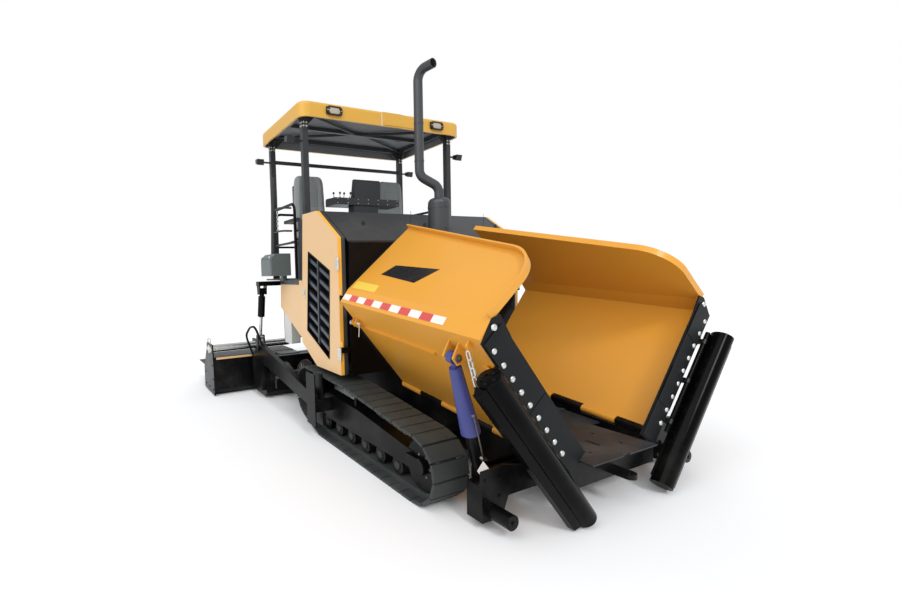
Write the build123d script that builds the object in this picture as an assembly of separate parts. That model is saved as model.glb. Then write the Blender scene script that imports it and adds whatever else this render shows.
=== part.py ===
# Asphalt paver on tracks: hopper with two folding wings in front, engine bay
# and operator's platform under a canopy, augers and an extending screed behind.
# Millimetres. +X forward, +Y to the machine's left, +Z up. The origin is on the
# ground, under the middle of the machine. Left-hand pieces are modelled, and
# their right-hand twins are mirrored in the XZ plane.
from math import atan2, ceil, copysign, cos, degrees, hypot, pi, radians, sin, sqrt, tan
import os

from build123d import *

# ---- driving sizes ----
hopper_front = 2750          # vertical plane of the hopper's front edge
wing_length = 1775           # hopper wing, measured along X
hinge_y = 530                # wing hinge line: distance from the middle plane
hinge_z = 400                # its height at the hopper's front edge
hinge_rise = 0.1             # its rise per unit of length towards the rear
panel_angle = 50.9           # lower wing panel, degrees above level
panel_height = 900           # its rise from hinge to crease at the front
panel_taper = 25             # how much nearer the crease is at the rear, in Y
band_angle = 52              # taped band above the crease, degrees above level
band_width = 150
upper_angle = 39.3           # upper wing panel, leaning inwards
top_front_y = 717            # wing's top edge: distance from the middle plane
top_rear_y = 430
wing_wall = 12
corner_radius = 330          # rounded front corner of the upper panel
lip_height = 42
knuckle_radius = 30
knuckle_count = 6
knuckle_gap = 5
pin_radius = 14
running_gap = 0.3            # between curved faces that seat on each other
moving_gap = 6               # between faces that pass each other

flap_wall = 12               # rubber lip bolted to the wing's front edge
flap_outer = 13
flap_inner = 187

apron_pivot_x = 40           # apron pivot ahead of the hopper's front edge
apron_pivot_n = 40           # and out from the panel's outer face
apron_low = -320             # apron's reach along the panel, from the hinge
apron_high = 1020
apron_tube_radius = 75
apron_tube_n = 147
apron_tube_x = 90
apron_pin_radius = 8
apron_ear_s = 925            # where the chain's ear stands on the apron
apron_bar = (50, 70)         # outer guard bar: along X, away from the panel
apron_web = 12

frame_y = 505                # inner face of the main side plates
frame_wall = 20
frame_low = 190
bumper_x = 2580              # front face of the brackets in front of the tracks
frame_front = 2740
frame_rear = -850
deck_z = 830                 # underside of the engine deck
deck_wall = 20
bay_front = 925              # hopper's rear wall, front face
bay_rear = 30                # rear wall of the hood
bay_half_width = 1100
hood_wall = 12

conveyor_front = 2330
conveyor_z = 385
conveyor_rise = 0.06
conveyor_wall = 12
slat_pitch = 250
slat_size = (40, 440, 25)

front_plate_front = 2850
front_plate_half_width = 370
front_plate_top = 391
front_plate_wall = 10

tow_eye_x = 2868
tow_eye_z = 250
tow_eye_radius = 45
tow_eye_bore = 25
tow_eye_wall = 36

track_inner_y = 930
shoe_width = 320
shoe_wall = 22
shoe_length = 118
shoe_pitch = 131
shoe_bed = 1                 # depth to which the shoes' plates sit on the links
link_wall = 45
link_width = 150
# wheels that the track runs round: x, z, radius of the track's outer face
track_wheels = (
    (2050, 260, 260),        # front idler
    (1000, 562, 90),         # carrier roller
    (130, 397, 295),         # rear sprocket
    (450, 150, 150),         # last road roller
)
roller_radius = 72
roller_count = 6
sprocket_teeth = 17

cylinder_base = (2370, 892, 280)
cylinder_eye_s = 985         # eye on the wing: along the panel from the hinge
cylinder_eye_n = 70          # and out from it
sleeve_length = 510
sleeve_radii = (42, 68)
sleeve_wall = 6
barrel_radii = (46, 32)
barrel_lengths = (355, 580)
bore_radius = 25
rod_radius = 20
rod_length = 580
piston_length = 30
neck_radius = 24
neck_length = 75             # from a cylinder's eye to its full-width part
foot_pin_radius = 18
eye_radius = 42
eye_width = 50

engine_x = (200, 800)
engine_half_width = 300
engine_top = 1650

door_outer_y = bay_half_width + 100
door_depth = 80
door_wall = 10
door_front = 885
door_bottom = 725
door_hinge = (899, bay_half_width + 88)   # x and y of its upright hinge axis
door_hinge_z = (1000, 1500)
door_knuckle = (11, 110)     # radius and height

deck_top_z = 1660            # operator's floor
platform_rear = -1400
platform_half_width = 1150
canopy_front, canopy_back = 10, -1400
canopy_half_width = 1160
canopy_top = 3650
canopy_depth = 175
canopy_wall = 25
post_size = 70
post_y = 1050
post_x = (-150, -1250)

seat_y = 650
seat_half_width = 262
lamp_y = 740                 # front lamps, from the middle plane
gusset_leg = 170
seat_x = -760

muffler_at = (750, 145)
muffler_radius = 120
muffler_z = (2075, 2500)
pipe_radius = 50
pipe_y = -60
pipe_top = 3850              # middle line of its outlet
pipe_bend = 110

auger_at = (-1010, 360)      # x and z of the auger shaft
auger_radius = 170
auger_shaft_radius = 42
auger_inner_y = 62
auger_outer_y = 1222
auger_pitch = 300
auger_blade = 14
auger_case_half_width = 55

tow_point = (430, 400)       # x and z of the tow arms' pivots
tow_arm_y = 1276
tow_arm_wall = 58
tow_pin_radius = 25
tow_fork_wall = 12

screed_front = -1215
screed_rear = -1700
screed_half_width = 1276
screed_low = 30
casing_wall = 20
screed_top = 520
extension_front = -1760
extension_rear = -2330
extension_inner_y = 640
extension_outer_y = 1860
extension_top = 560
guide_radius = 55
guide_rod_radius = 22
guide_z = 660
guide_x = (-1840, -1960, -2070)
gate_wall = 20
walkway_rear = -2915

lift_top = (-1150, 1500)     # x and z of the lift cylinders' upper pivots
lift_eye = (-1300, 860)      # and of their rod eyes on the tow arms
lift_y = 1305
lift_barrel = (48, 355)
lift_bore_radius = 27
lift_rod_radius = 22
lift_rod_start = 300
lift_neck_radius = 32
lift_eye_width = 66


# ---- helpers ----
def box(x0, x1, y0, y1, z0, z1):
    size = (x1 - x0, y1 - y0, z1 - z0)
    return Pos((x0 + x1) / 2, (y0 + y1) / 2, (z0 + z1) / 2) * Box(*size)


def side_prism(points, y0, y1):
    # outline of (x, z) points, carried from y0 to y1
    plane = Plane(origin=(0, y0, 0), x_dir=(1, 0, 0), z_dir=(0, -1, 0))
    return extrude(plane * Polygon(*points, align=None), amount=y1 - y0, dir=(0, 1, 0))


def cross_prism(points, x0, x1):
    # outline of (y, z) points, carried from x0 to x1
    plane = Plane(origin=(x0, 0, 0), x_dir=(0, 1, 0), z_dir=(1, 0, 0))
    return extrude(plane * Polygon(*points, align=None), amount=x1 - x0, dir=(1, 0, 0))


def rod(start, end, radius):
    run = Vector(*end) - Vector(*start)
    return extrude(Plane(origin=start, z_dir=run) * Circle(radius), amount=run.length)


def slab(corners, wall, towards):
    # flat sheet with these corners, its thickness laid towards a direction
    face = make_face(Polyline(*corners, close=True)).face()
    normal = face.normal_at()
    if normal.dot(Vector(*towards)) < 0:
        normal = normal * -1
    return extrude(face, amount=wall, dir=normal)


def casing(points, y0, y1, wall):
    # closed hollow box whose outline of (x, z) points runs from y0 to y1
    plane = Plane(origin=(0, y0 + wall, 0), x_dir=(1, 0, 0), z_dir=(0, -1, 0))
    inside = offset(Polygon(*points, align=None), amount=-wall, kind=Kind.INTERSECTION)
    return side_prism(points, y0, y1) - extrude(plane * inside, amount=y1 - y0 - 2 * wall, dir=(0, 1, 0))


def fused(pieces):
    pieces = list(pieces)
    return pieces[0].fuse(*pieces[1:]) if len(pieces) > 1 else pieces[0]


def on_line(start, end, share):
    return tuple(a + (b - a) * share for a, b in zip(start, end))


# ---- hopper wing ----
hinge_dir = Vector(-1, 0, hinge_rise).normalized()
slope = (cos(radians(panel_angle)), sin(radians(panel_angle)))
outward = (slope[1], -slope[0])


def hinge_height(x):
    return hinge_z + hinge_rise * (hopper_front - x)


def on_panel(x, s, n=0):
    # point at distance s up the lower panel and n out from its outer face
    y = hinge_y + s * slope[0] + n * outward[0]
    z = hinge_height(x) + s * slope[1] + n * outward[1]
    return (x, y, z)


def wing_section(x):
    # hinge, crease, end of the taped band and top edge at one place along X
    back = (hopper_front - x) / wing_length
    length = panel_height / slope[1] - panel_taper * back / slope[0]
    crease = on_panel(x, length)
    band = radians(band_angle)
    bend = (x, crease[1] - band_width * cos(band), crease[2] + band_width * sin(band))
    top_y = top_front_y + (top_rear_y - top_front_y) * back
    top = (x, top_y, bend[2] + (bend[1] - top_y) * tan(radians(upper_angle)))
    return on_panel(x, 0), crease, bend, top


def make_wing():
    rear = hopper_front - wing_length
    hinge0, crease0, bend0, top0 = wing_section(hopper_front)
    hinge1, crease1, bend1, top1 = wing_section(rear)
    inside = (0, -1, 1)
    step = wing_length / knuckle_count
    start = knuckle_radius + moving_gap
    low0, low1 = on_panel(hopper_front, start), on_panel(rear, start)
    pieces = [
        slab([low0, low1, crease1, crease0], wing_wall, inside),
        slab([crease0, crease1, bend1, bend0], wing_wall, (0, -1, -0.2)),
    ]
    # upper panel with its rounded front corner, and the lip folded round it
    upper = make_face(Polyline(bend0, bend1, top1, top0, close=True)).face()
    corner = min(upper.vertices(), key=lambda v: (Vector(v) - Vector(*top0)).length)
    upper = upper.fillet_2d(corner_radius, [corner])
    normal = upper.normal_at()
    if normal.Z < 0:
        normal = normal * -1
    pieces.append(extrude(upper, amount=wing_wall, dir=normal * -1))
    run = (Vector(*bend1) - Vector(*bend0)).normalized()
    down = (Vector(*bend0) - Vector(*top0)).normalized()
    shift = (run + down) * (wing_wall * 1.1)
    lip = extrude(upper, amount=lip_height, dir=normal)
    lip -= Pos(*shift) * extrude(upper, amount=lip_height, dir=normal)
    pieces.append(lip)
    ahead = box(hopper_front, hopper_front + 50, 0, 1500, 0, 2500)
    pieces = [piece - ahead for piece in pieces]
    # flange at the front edge, which the rubber lip is bolted to
    flange = [on_panel(hopper_front, start), crease0, bend0,
              tuple(on_line(bend0, top0, 0.12)[:1]) + (bend0[1] - 70, bend0[2] + 10),
              on_panel(hopper_front, panel_height / slope[1] - 60, -60),
              on_panel(hopper_front, start, -60)]
    pieces.append(slab(flange, wing_wall, (-1, 0, 0)))
    # knuckles on the hinge line, every other one of the row
    for index in range(0, knuckle_count, 2):
        x1 = rear + index * step + knuckle_gap / 2
        x2 = rear + (index + 1) * step - knuckle_gap / 2
        pieces.append(rod(on_panel(x1, 0), on_panel(x2, 0), knuckle_radius))
        tab = [on_panel(x1, 15), on_panel(x2, 15), on_panel(x2, start + 20), on_panel(x1, start + 20)]
        pieces.append(slab(tab, wing_wall, inside))
    # stiffening rib along the outer face
    rib = [on_panel(hopper_front - 640, 812), on_panel(rear + 40, 800),
           on_panel(rear + 40, 832), on_panel(hopper_front - 640, 844)]
    pieces.append(slab(rib, 16, (0, 1, -1)))
    # lugs for the cylinder's eye, the apron's pivots, the rear latch and the chain
    eye_x = wing_eye()[0]
    for side in (-1, 1):
        x = eye_x + side * (eye_width / 2 + moving_gap + 7)
        lug = [on_panel(x, cylinder_eye_s - 75, -4), on_panel(x, cylinder_eye_s + 75, -4),
               on_panel(x, cylinder_eye_s + 32, cylinder_eye_n + 32),
               on_panel(x, cylinder_eye_s - 32, cylinder_eye_n + 32)]
        pieces.append(slab(lug, 14, (side, 0, 0)))
    for s in apron_lug_stations:
        pieces.append(apron_lug(s))
    pieces.append(rod(apron_frame(60, apron_pivot_n, apron_pivot_x),
                      apron_frame(980, apron_pivot_n, apron_pivot_x), apron_pin_radius))
    for x in (rear + 60, rear + 110):
        lug = [on_panel(x, 850, -4), on_panel(x, 950, -4), on_panel(x, 920, 60), on_panel(x, 870, 60)]
        pieces.append(slab(lug, 10, (1, 0, 0)))
    lug = [on_panel(chain_x, 1080, -4), on_panel(chain_x, 1130, -4), on_panel(chain_x, 1115, 46),
           on_panel(chain_x, 1085, 46)]
    pieces.append(slab(lug, 10, (1, 0, 0)))
    wing = fused(pieces)
    bore = rod(on_panel(hopper_front + 50, 0), on_panel(rear - 50, 0), pin_radius + running_gap)
    return wing - bore


chain_x = hopper_front - 115
apron_lug_stations = (150, 520, 890)
apron_lug_width = 40


def apron_frame(s, n, dx):
    x, y, z = on_panel(hopper_front, s, n)
    return (hopper_front + dx, y, z)


def apron_lug(s):
    # ear that carries the apron's pivot pin, welded to the wing's outer face
    half = apron_lug_width / 2
    back = hopper_front - 120
    base = slab([on_panel(back, s - half, -4), on_panel(back, s + half, -4),
                 apron_frame(s + half, apron_pivot_n - 12, -20), apron_frame(s - half, apron_pivot_n - 12, -20)],
                18, (0, 1, -1))
    arm = slab([apron_frame(s - half, apron_pivot_n - 12, -40), apron_frame(s + half, apron_pivot_n - 12, -40),
                apron_frame(s + half, apron_pivot_n - 12, apron_pivot_x),
                apron_frame(s - half, apron_pivot_n - 12, apron_pivot_x)], 24, (0, 1, -1))
    barrel = rod(apron_frame(s - half, apron_pivot_n, apron_pivot_x),
                 apron_frame(s + half, apron_pivot_n, apron_pivot_x), 16)
    return fused([base, arm, barrel])


def wing_eye():
    # rod eye of the hopper cylinder, in the plane square to the wing's hinge
    x = cylinder_base[0]
    for step in range(4):
        y, z = on_panel(x, cylinder_eye_s, cylinder_eye_n)[1:]
        x = cylinder_base[0] + hinge_rise * (z - cylinder_base[2])
    return (x, y, z)


def make_flap():
    low, high = -95, panel_height / slope[1] - 20
    crease, bend = wing_section(hopper_front)[1:3]
    corners = [apron_frame(low, flap_outer, 0), apron_frame(high, flap_outer, 0),
               (hopper_front, bend[1] + 2, bend[2] + 4), (hopper_front, bend[1] - 62, bend[2] + 24),
               apron_frame(high - 150, -flap_inner, 0), apron_frame(low, -flap_inner, 0)]
    return slab(corners, flap_wall, (1, 0, 0))


def make_apron():
    # web, pivot sleeves, round guard tube with caps and outer guard bar
    n0 = apron_pivot_n
    pieces = []
    edges = []
    half = apron_lug_width / 2 + 3
    spans, at = [], 60
    for s in apron_lug_stations:
        spans.append((at, s - half))
        at = s + half
    spans.append((at, 980))
    for s0, s1 in spans:
        pieces.append(rod(apron_frame(s0, n0, apron_pivot_x), apron_frame(s1, n0, apron_pivot_x), 16))
        tab = [apron_frame(s0, n0, apron_pivot_x), apron_frame(s1, n0, apron_pivot_x),
               apron_frame(s1, n0 + 40, apron_pivot_x), apron_frame(s0, n0 + 40, apron_pivot_x)]
        pieces.append(slab(tab, apron_web, (1, 0, 0)))
    web = [apron_frame(apron_low + 30, n0 + 22, apron_pivot_x), apron_frame(980, n0 + 22, apron_pivot_x),
           apron_frame(980, apron_tube_n, apron_pivot_x), apron_frame(apron_low + 30, apron_tube_n, apron_pivot_x)]
    pieces.append(slab(web, apron_web, (1, 0, 0)))
    pieces.append(rod(apron_frame(apron_low, apron_tube_n, apron_tube_x),
                      apron_frame(apron_high, apron_tube_n, apron_tube_x), apron_tube_radius))
    bar_n = apron_tube_n + apron_tube_radius - 12
    bar_x = apron_tube_x - apron_bar[0] / 2
    bar = [apron_frame(apron_low + 10, bar_n, bar_x), apron_frame(apron_high - 10, bar_n, bar_x),
           apron_frame(apron_high - 10, bar_n + apron_bar[1], bar_x),
           apron_frame(apron_low + 50, bar_n + apron_bar[1], bar_x)]
    pieces.append(slab(bar, apron_bar[0], (1, 0, 0)))
    # ear for the chain's last link, behind the tube
    top = chain_end()
    ear = box(top[0] - 12, hopper_front + apron_tube_x, top[1] - 8, top[1] + 8, top[2] - 60, top[2] - running_gap)
    pieces.append(ear)
    pin = rod(apron_frame(0, n0, apron_pivot_x), apron_frame(1050, n0, apron_pivot_x),
              apron_pin_radius + running_gap)
    return fused(pieces) - pin


link_inner = (52, 18)
link_wire = 9


link_count = 4
chain_run = Vector(100, 12, -240).normalized()
chain_pitch = link_inner[0] - running_gap


def link_facing(index):
    # links stand across each other by turns
    across = (Vector(0, 1, 0), Vector(0, 1, 0).cross(chain_run))[index % 2]
    return (across - chain_run * across.dot(chain_run)).normalized()


def link_end(facing):
    # from the middle of a link's round end to that end's lowest point
    down = Vector(0, 0, -1)
    flat = (down - facing * down.dot(facing)).normalized()
    radius = link_inner[1] / 2 + link_wire
    return flat * radius + facing * copysign(link_wire / 2, -facing.Z)


def chain_top():
    x, y, z = on_panel(chain_x, 1085, 46)
    middle = Vector(x + 5, y, z - running_gap) + link_end(link_facing(0))
    return middle - chain_run * (link_inner[1] / 2 + link_wire)


def chain_end():
    # lowest point of the last link
    length = link_count * chain_pitch + link_wire + running_gap - link_inner[1] / 2
    return tuple(chain_top() + chain_run * length + link_end(link_facing(link_count - 1)))


def make_chain():
    # links from the wing's lug down to the apron's upper end
    outer = SlotOverall(link_inner[0] + 2 * link_wire, link_inner[1] + 2 * link_wire)
    link = extrude(outer - SlotOverall(*link_inner), link_wire / 2, both=True)
    links = []
    for index in range(link_count):
        at = chain_top() + chain_run * (link_wire + link_inner[0] / 2 + index * chain_pitch)
        links.append(Plane(origin=at, x_dir=chain_run, z_dir=link_facing(index)) * link)
    return Compound(children=links)


# ---- hopper cylinder ----
cylinder_dir = (Vector(*wing_eye()) - Vector(*cylinder_base)).normalized()
cylinder_rest = (Vector(*wing_eye()) - Vector(*cylinder_base)).length


def cylinder_at(distance):
    return tuple(Vector(*cylinder_base) + cylinder_dir * distance)


def cross_eye(at, radius, width):
    # eye turned about the wing hinge's direction
    start = Vector(*at) - hinge_dir * (width / 2)
    return rod(tuple(start), tuple(Vector(*at) + hinge_dir * (width / 2)), radius)


def make_hopper_barrel():
    barrel = rod(cylinder_at(0), cylinder_at(neck_length), neck_radius)
    barrel += rod(cylinder_at(neck_length), cylinder_at(barrel_lengths[0]), barrel_radii[0])
    barrel += rod(cylinder_at(barrel_lengths[0]), cylinder_at(barrel_lengths[1]), barrel_radii[1])
    barrel += cross_eye(cylinder_base, eye_radius, eye_width)
    barrel -= cross_eye(cylinder_base, foot_pin_radius + running_gap, eye_width + 10)
    return barrel - rod(cylinder_at(100), cylinder_at(barrel_lengths[1] + 1), bore_radius)


def make_hopper_rod():
    # piston rod, its eye, and the tapered cover that slides down over the barrel
    top = cylinder_rest
    low = top - neck_length - sleeve_length
    cap = 28
    small, large = sleeve_radii
    taper = (large - small) / sleeve_length
    plane = Plane(origin=cylinder_at(low), z_dir=cylinder_dir)
    cover = plane * Pos(0, 0, sleeve_length / 2) * Cone(large, small, sleeve_length)
    hollow = plane * Pos(0, 0, (sleeve_length - cap) / 2) * Cone(
        large - sleeve_wall, small - sleeve_wall + taper * cap, sleeve_length - cap)
    piece = cover - hollow
    piece += rod(cylinder_at(top - rod_length), cylinder_at(top), rod_radius)
    piece += rod(cylinder_at(top - rod_length), cylinder_at(top - rod_length + piston_length),
                 bore_radius - running_gap)
    return piece + cross_eye(cylinder_at(top), eye_radius, eye_width)


# ---- track ----
def track_face(offset):
    circles = [Pos(x, z) * Circle(r - offset) for x, z, r in track_wheels]
    return make_hull([edge for circle in circles for edge in circle.edges()])


track_plane = Plane(origin=(0, 0, 0), x_dir=(1, 0, 0), z_dir=(0, -1, 0))


def make_track():
    # one closed loop: a chain of links with a flat shoe on each
    band = track_face(shoe_wall) - track_face(shoe_wall + link_wall)
    middle = track_inner_y + shoe_width / 2
    chain = extrude(track_plane * band, amount=link_width / 2, both=True)
    path = track_face(shoe_wall / 2 + shoe_bed).face().outer_wire()
    count = round(path.length / shoe_pitch)
    shoes = []
    for index in range(count):
        ends = [path.position_at((index + share) * path.length / count, position_mode=PositionMode.LENGTH)
                for share in (0.05, 0.95)]
        run = ends[1] - ends[0]
        at = (ends[0] + ends[1]) * 0.5
        turn = degrees(atan2(run.Y, run.X))
        shoes.append(Pos(at.X, at.Y) * Rot(0, 0, turn) * Rectangle(shoe_length, shoe_wall))
    plates = [extrude(track_plane * shoe, amount=shoe_width / 2, both=True) for shoe in shoes]
    return Pos(0, middle, 0) * fused([chain] + plates)


def sprocket_sketch(radius):
    teeth = []
    for index in range(sprocket_teeth):
        teeth.append(Rot(0, 0, 360 / sprocket_teeth * index) * Pos(radius - 10, 0) * Rectangle(44, 34))
    disc = Circle(radius - 22)
    for tooth in teeth:
        disc += tooth
    return disc & Circle(radius)


def wheel_disc(x, z, radius, width):
    middle = track_inner_y + shoe_width / 2
    return rod((x, middle - width / 2, z), (x, middle + width / 2, z), radius)


def make_track_frame():
    # box beam inside the loop with idler, sprocket, rollers, and the upright
    # fork outside the loop that guides the tow arm's pivot
    middle = track_inner_y + shoe_width / 2
    inner = shoe_wall + link_wall + running_gap
    (ix, iz, ir), (cx, cz, cr), (sx, sz, sr), (bx, bz, br) = track_wheels
    beam = [(ix - 120, 190), (ix - 120, 330), (cx + 100, 430), (sx + 210, 470), (sx + 60, 420),
            (sx + 160, 250), (bx + 20, 190)]
    pieces = [side_prism(beam, middle - 60, middle + 60)]
    pieces.append(wheel_disc(ix, iz, ir - inner, 110))
    pieces.append(wheel_disc(ix, iz, 60, 200))
    pieces.append(box(ix - 170, ix + 40, middle - 90, middle - 62, iz - 50, iz + 50))
    pieces.append(box(ix - 170, ix + 40, middle + 62, middle + 90, iz - 50, iz + 50))
    pieces.append(wheel_disc(ix - 75, iz, 36, 170))
    sprocket = extrude(track_plane * Pos(sx, sz) * sprocket_sketch(sr - inner), amount=35, both=True)
    pieces.append(Pos(0, middle, 0) * sprocket)
    pieces.append(wheel_disc(sx, sz, 150, 240))
    pieces.append(wheel_disc(cx, cz, cr - inner, 120))
    pieces.append(box(cx - 20, cx + 20, middle - 30, middle + 30, 400, cz))
    last = bx
    first = ix - 330
    for index in range(roller_count):
        x = last + (first - last) * index / (roller_count - 1)
        pieces.append(wheel_disc(x, inner + roller_radius, roller_radius, 110))
    # tow fork: bracket through the loop's open side, then two upright plates
    tx, tz = tow_point
    fork0 = tow_arm_y - moving_gap - tow_fork_wall
    fork1 = tow_arm_y + tow_arm_wall + moving_gap
    pieces.append(box(tx + 90, tx + 150, middle + 50, fork1 + tow_fork_wall, 300, 420))
    pieces.append(box(tx - 60, tx + 150, fork0, fork0 + tow_fork_wall, 150, 690))
    pieces.append(box(tx - 60, tx + 150, fork1, fork1 + tow_fork_wall, 150, 690))
    pieces.append(rod((tx, fork0, tz), (tx, fork1 + tow_fork_wall, tz), tow_pin_radius))
    frame = fused(pieces)
    return frame


# ---- main frame ----
def conveyor_height(x):
    return conveyor_z + conveyor_rise * (conveyor_front - x)


def thrust_washer(x, z, side):
    # between a lift cylinder's eye and the ear beside it
    inner, outer = lift_eye_width / 2 + running_gap, lift_eye_width / 2 + moving_gap + 1
    return rod((x, lift_y + side * inner, z), (x, lift_y + side * outer, z), 28)


def make_main_frame():
    outer_y = frame_y + frame_wall
    rear = hopper_front - wing_length
    top = moving_gap + knuckle_radius
    plate = [(frame_front, frame_low), (frame_front, hinge_height(frame_front) - top),
             (bay_front - 20, hinge_height(bay_front) - top), (bay_front - 20, deck_z + deck_wall),
             (-60, deck_z + deck_wall), (-60, deck_top_z - 20), (frame_rear, deck_top_z - 20),
             (frame_rear, 520), (300, frame_low)]
    pieces = []
    for side in (-1, 1):
        y0, y1 = sorted((side * frame_y, side * outer_y))
        pieces.append(side_prism(plate, y0, y1))
    # engine deck, which is also the roof of the conveyor tunnel
    pieces.append(box(frame_rear, bay_front - 20, -outer_y, outer_y, deck_z, deck_z + deck_wall))
    pieces.append(box(-60, bay_front - 20, -bay_half_width, bay_half_width, deck_z, deck_z + deck_wall))
    # front cross beam, and cross tubes out to the track frames
    pieces.append(box(2640, frame_front, -outer_y, outer_y, frame_low, front_plate_top - front_plate_wall - 12))
    middle = track_inner_y + shoe_width / 2
    for x in (1700, 620):
        pieces.append(box(x - 70, x + 70, -(middle - 60), middle - 60, 215, 335))
    # tow eye: a level plate with an upright bore, on the middle of the front beam
    low, high = tow_eye_z - tow_eye_wall / 2, tow_eye_z + tow_eye_wall / 2
    eye = box(frame_front - 5, tow_eye_x, -tow_eye_radius, tow_eye_radius, low, high)
    eye += rod((tow_eye_x, 0, low), (tow_eye_x, 0, high), tow_eye_radius)
    eye -= rod((tow_eye_x, 0, low - 5), (tow_eye_x, 0, high + 5), tow_eye_bore)
    pieces.append(eye)
    # wing hinge knuckles with their pins, on both sides
    step = wing_length / knuckle_count
    half = []
    for index in range(1, knuckle_count, 2):
        x1 = rear + index * step + knuckle_gap / 2
        x2 = rear + (index + 1) * step - knuckle_gap / 2
        if index == knuckle_count - 1:
            x2 = frame_front
        half.append(rod(on_panel(x1, 0), on_panel(x2, 0), knuckle_radius))
        web = [(x1, hinge_height(x1) - 60), (x2, hinge_height(x2) - 60),
               (x2, hinge_height(x2) - 8), (x1, hinge_height(x1) - 8)]
        half.append(side_prism(web, frame_y + 5, outer_y))
    half.append(rod(on_panel(rear + 10, 0), on_panel(frame_front, 0), pin_radius))
    # hopper cylinder's foot: two ears on a bracket off the side plate
    foot = cylinder_base
    for side in (-1, 1):
        x = foot[0] + side * (eye_width / 2 + moving_gap + 8)
        half.append(cross_prism([(outer_y - 5, 215), (foot[1] + 40, 215), (foot[1] + 40, foot[2] + 40),
                                 (foot[1] - 60, foot[2] + 40), (outer_y - 5, 320)], x - 8, x + 8))
    half.append(box(foot[0] - 60, foot[0] + 60, outer_y - 5, foot[1] + 40, 205, 216))
    half.append(cross_eye(foot, foot_pin_radius, eye_width + 34))
    # bumper bracket in front of the track, with its stub tube
    bracket = [(outer_y - 5, 195), (outer_y - 5, 330), (880, 410), (1085, 400), (1085, 60), (905, 60), (850, 195)]
    half.append(cross_prism(bracket, bumper_x - 20, bumper_x))
    half.append(box(2440, bumper_x - 10, 905, 1085, 60, 300))
    half.append(rod((bumper_x - 10, 1000, 126), (hopper_front, 1000, 126), 50))
    # outer bearing arm of the auger
    ax, az = auger_at
    half.append(box(-900, frame_rear + 5, frame_y - 5, 1256, 590, 650))
    arm = [(-860, 650), (-860, 560), (ax + 60, az - 60), (ax - 60, az - 60), (ax - 60, az + 60), (-920, 650)]
    half.append(side_prism(arm, 1238, 1256))
    # upper brackets of the screed's lift cylinders
    lx, lz = lift_top
    half.append(side_prism([(frame_rear + 10, deck_top_z - 20), (frame_rear + 10, 1500), (lx - 60, lz - 60),
                            (lx - 60, deck_top_z - 20)], frame_y, outer_y))
    half.append(box(lx - 60, lx + 60, frame_y, lift_y + 60, lz + 70, lz + 130))
    for side in (-1, 1):
        y = lift_y + side * (lift_eye_width / 2 + moving_gap + 7)
        half.append(side_prism([(lx - 45, lz - 45), (lx + 45, lz - 45), (lx + 60, lz + 90), (lx - 60, lz + 90)],
                               y - 7, y + 7))
        half.append(thrust_washer(lx, lz, side))
    half.append(rod((lx, lift_y - 53, lz), (lx, lift_y + 53, lz), foot_pin_radius))
    left = fused(half)
    pieces += [left, mirror(left, about=Plane.XZ)]
    # auger drive case on the middle of the rear end
    case_top = deck_z + deck_wall
    case = [(frame_rear + 5, case_top), (frame_rear + 5, 660), (ax + 60, az - 90), (ax - 70, az - 90),
            (ax - 70, az + 70), (-920, case_top)]
    pieces.append(side_prism(case, -auger_case_half_width, auger_case_half_width))
    return fused(pieces)


def make_front_plate():
    plate = box(conveyor_front, front_plate_front, -front_plate_half_width, front_plate_half_width,
                front_plate_top - front_plate_wall, front_plate_top)
    for x, y in ((2700, 180), (2700, -180), (2480, 180), (2480, -180)):
        plate -= Pos(x, y, front_plate_top) * Cylinder(14, 60)
    plate -= Pos(2600, 0, front_plate_top) * extrude(SlotOverall(120, 30), 30, both=True)
    relief = tow_eye_bore + 8
    plate -= box(tow_eye_x - relief, front_plate_front + 5, -relief, relief, front_plate_top - 50, front_plate_top + 5)
    return plate


def make_conveyor():
    # floor of two lanes with drag slats, and the ridge that covers their chains
    x0, x1 = frame_rear, conveyor_front
    z0, z1 = conveyor_height(x0), conveyor_height(x1)
    floor = side_prism([(x0, z0 - conveyor_wall), (x1, z1 - conveyor_wall), (x1, z1), (x0, z0)],
                       -frame_y, frame_y)
    ridge = side_prism([(x0, z0 - 1), (x1 - 40, z1 - 1), (x1 - 140, z1 + 60), (x0, z0 + 60)], -22, 22)
    pieces = [floor, ridge]
    count = int((x1 - x0 - 200) / slat_pitch)
    long, wide, high = slat_size
    tilt = degrees(atan2(conveyor_rise, 1))
    for index in range(count + 1):
        x = x0 + 120 + index * slat_pitch
        for side in (-1, 1):
            y = side * (30 + wide / 2)
            pieces.append(Pos(x, y, conveyor_height(x) + high / 2 - 2) * Rot(0, tilt, 0) * Box(long, wide, high))
    return fused(pieces)


def make_bulkhead():
    # hopper's rear wall above and beside the tunnel's mouth
    w = bay_half_width
    top = hood_line(bay_front) - hood_wall - 4
    wall = cross_prism([(-w, 720), (w, 720), (w, top), (-w, top)], bay_front - 20, bay_front)
    mouth = frame_y + frame_wall
    wall -= box(bay_front - 40, bay_front + 20, -mouth, mouth, 700, deck_z)
    # door hinge posts with fixed knuckles
    hx, hy = door_hinge
    for side in (-1, 1):
        for z in door_hinge_z:
            radius, height = door_knuckle
            arm = box(bay_front - 20, bay_front - 10, *sorted((side * (w - 30), side * (hy + radius))),
                      z - height / 2, z - moving_gap / 2)
            arm += box(hx, bay_front - 10, *sorted((side * (hy - 6), side * (hy + 6))), z - height / 2,
                       z - moving_gap / 2)
            arm += Pos(hx, side * hy, z - height / 4 - moving_gap / 4) * Cylinder(
                radius, height / 2 - moving_gap / 2)
            arm += Pos(hx, side * hy, z) * Cylinder(5, height)
            wall += arm
    return wall


def hood_line(x):
    # roof line of the hood: flat, then down to the hopper's rear wall
    if x <= 430:
        return 2361 + (430 - x) * 0.035
    return 2361 - (x - 430) * 0.681


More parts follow.
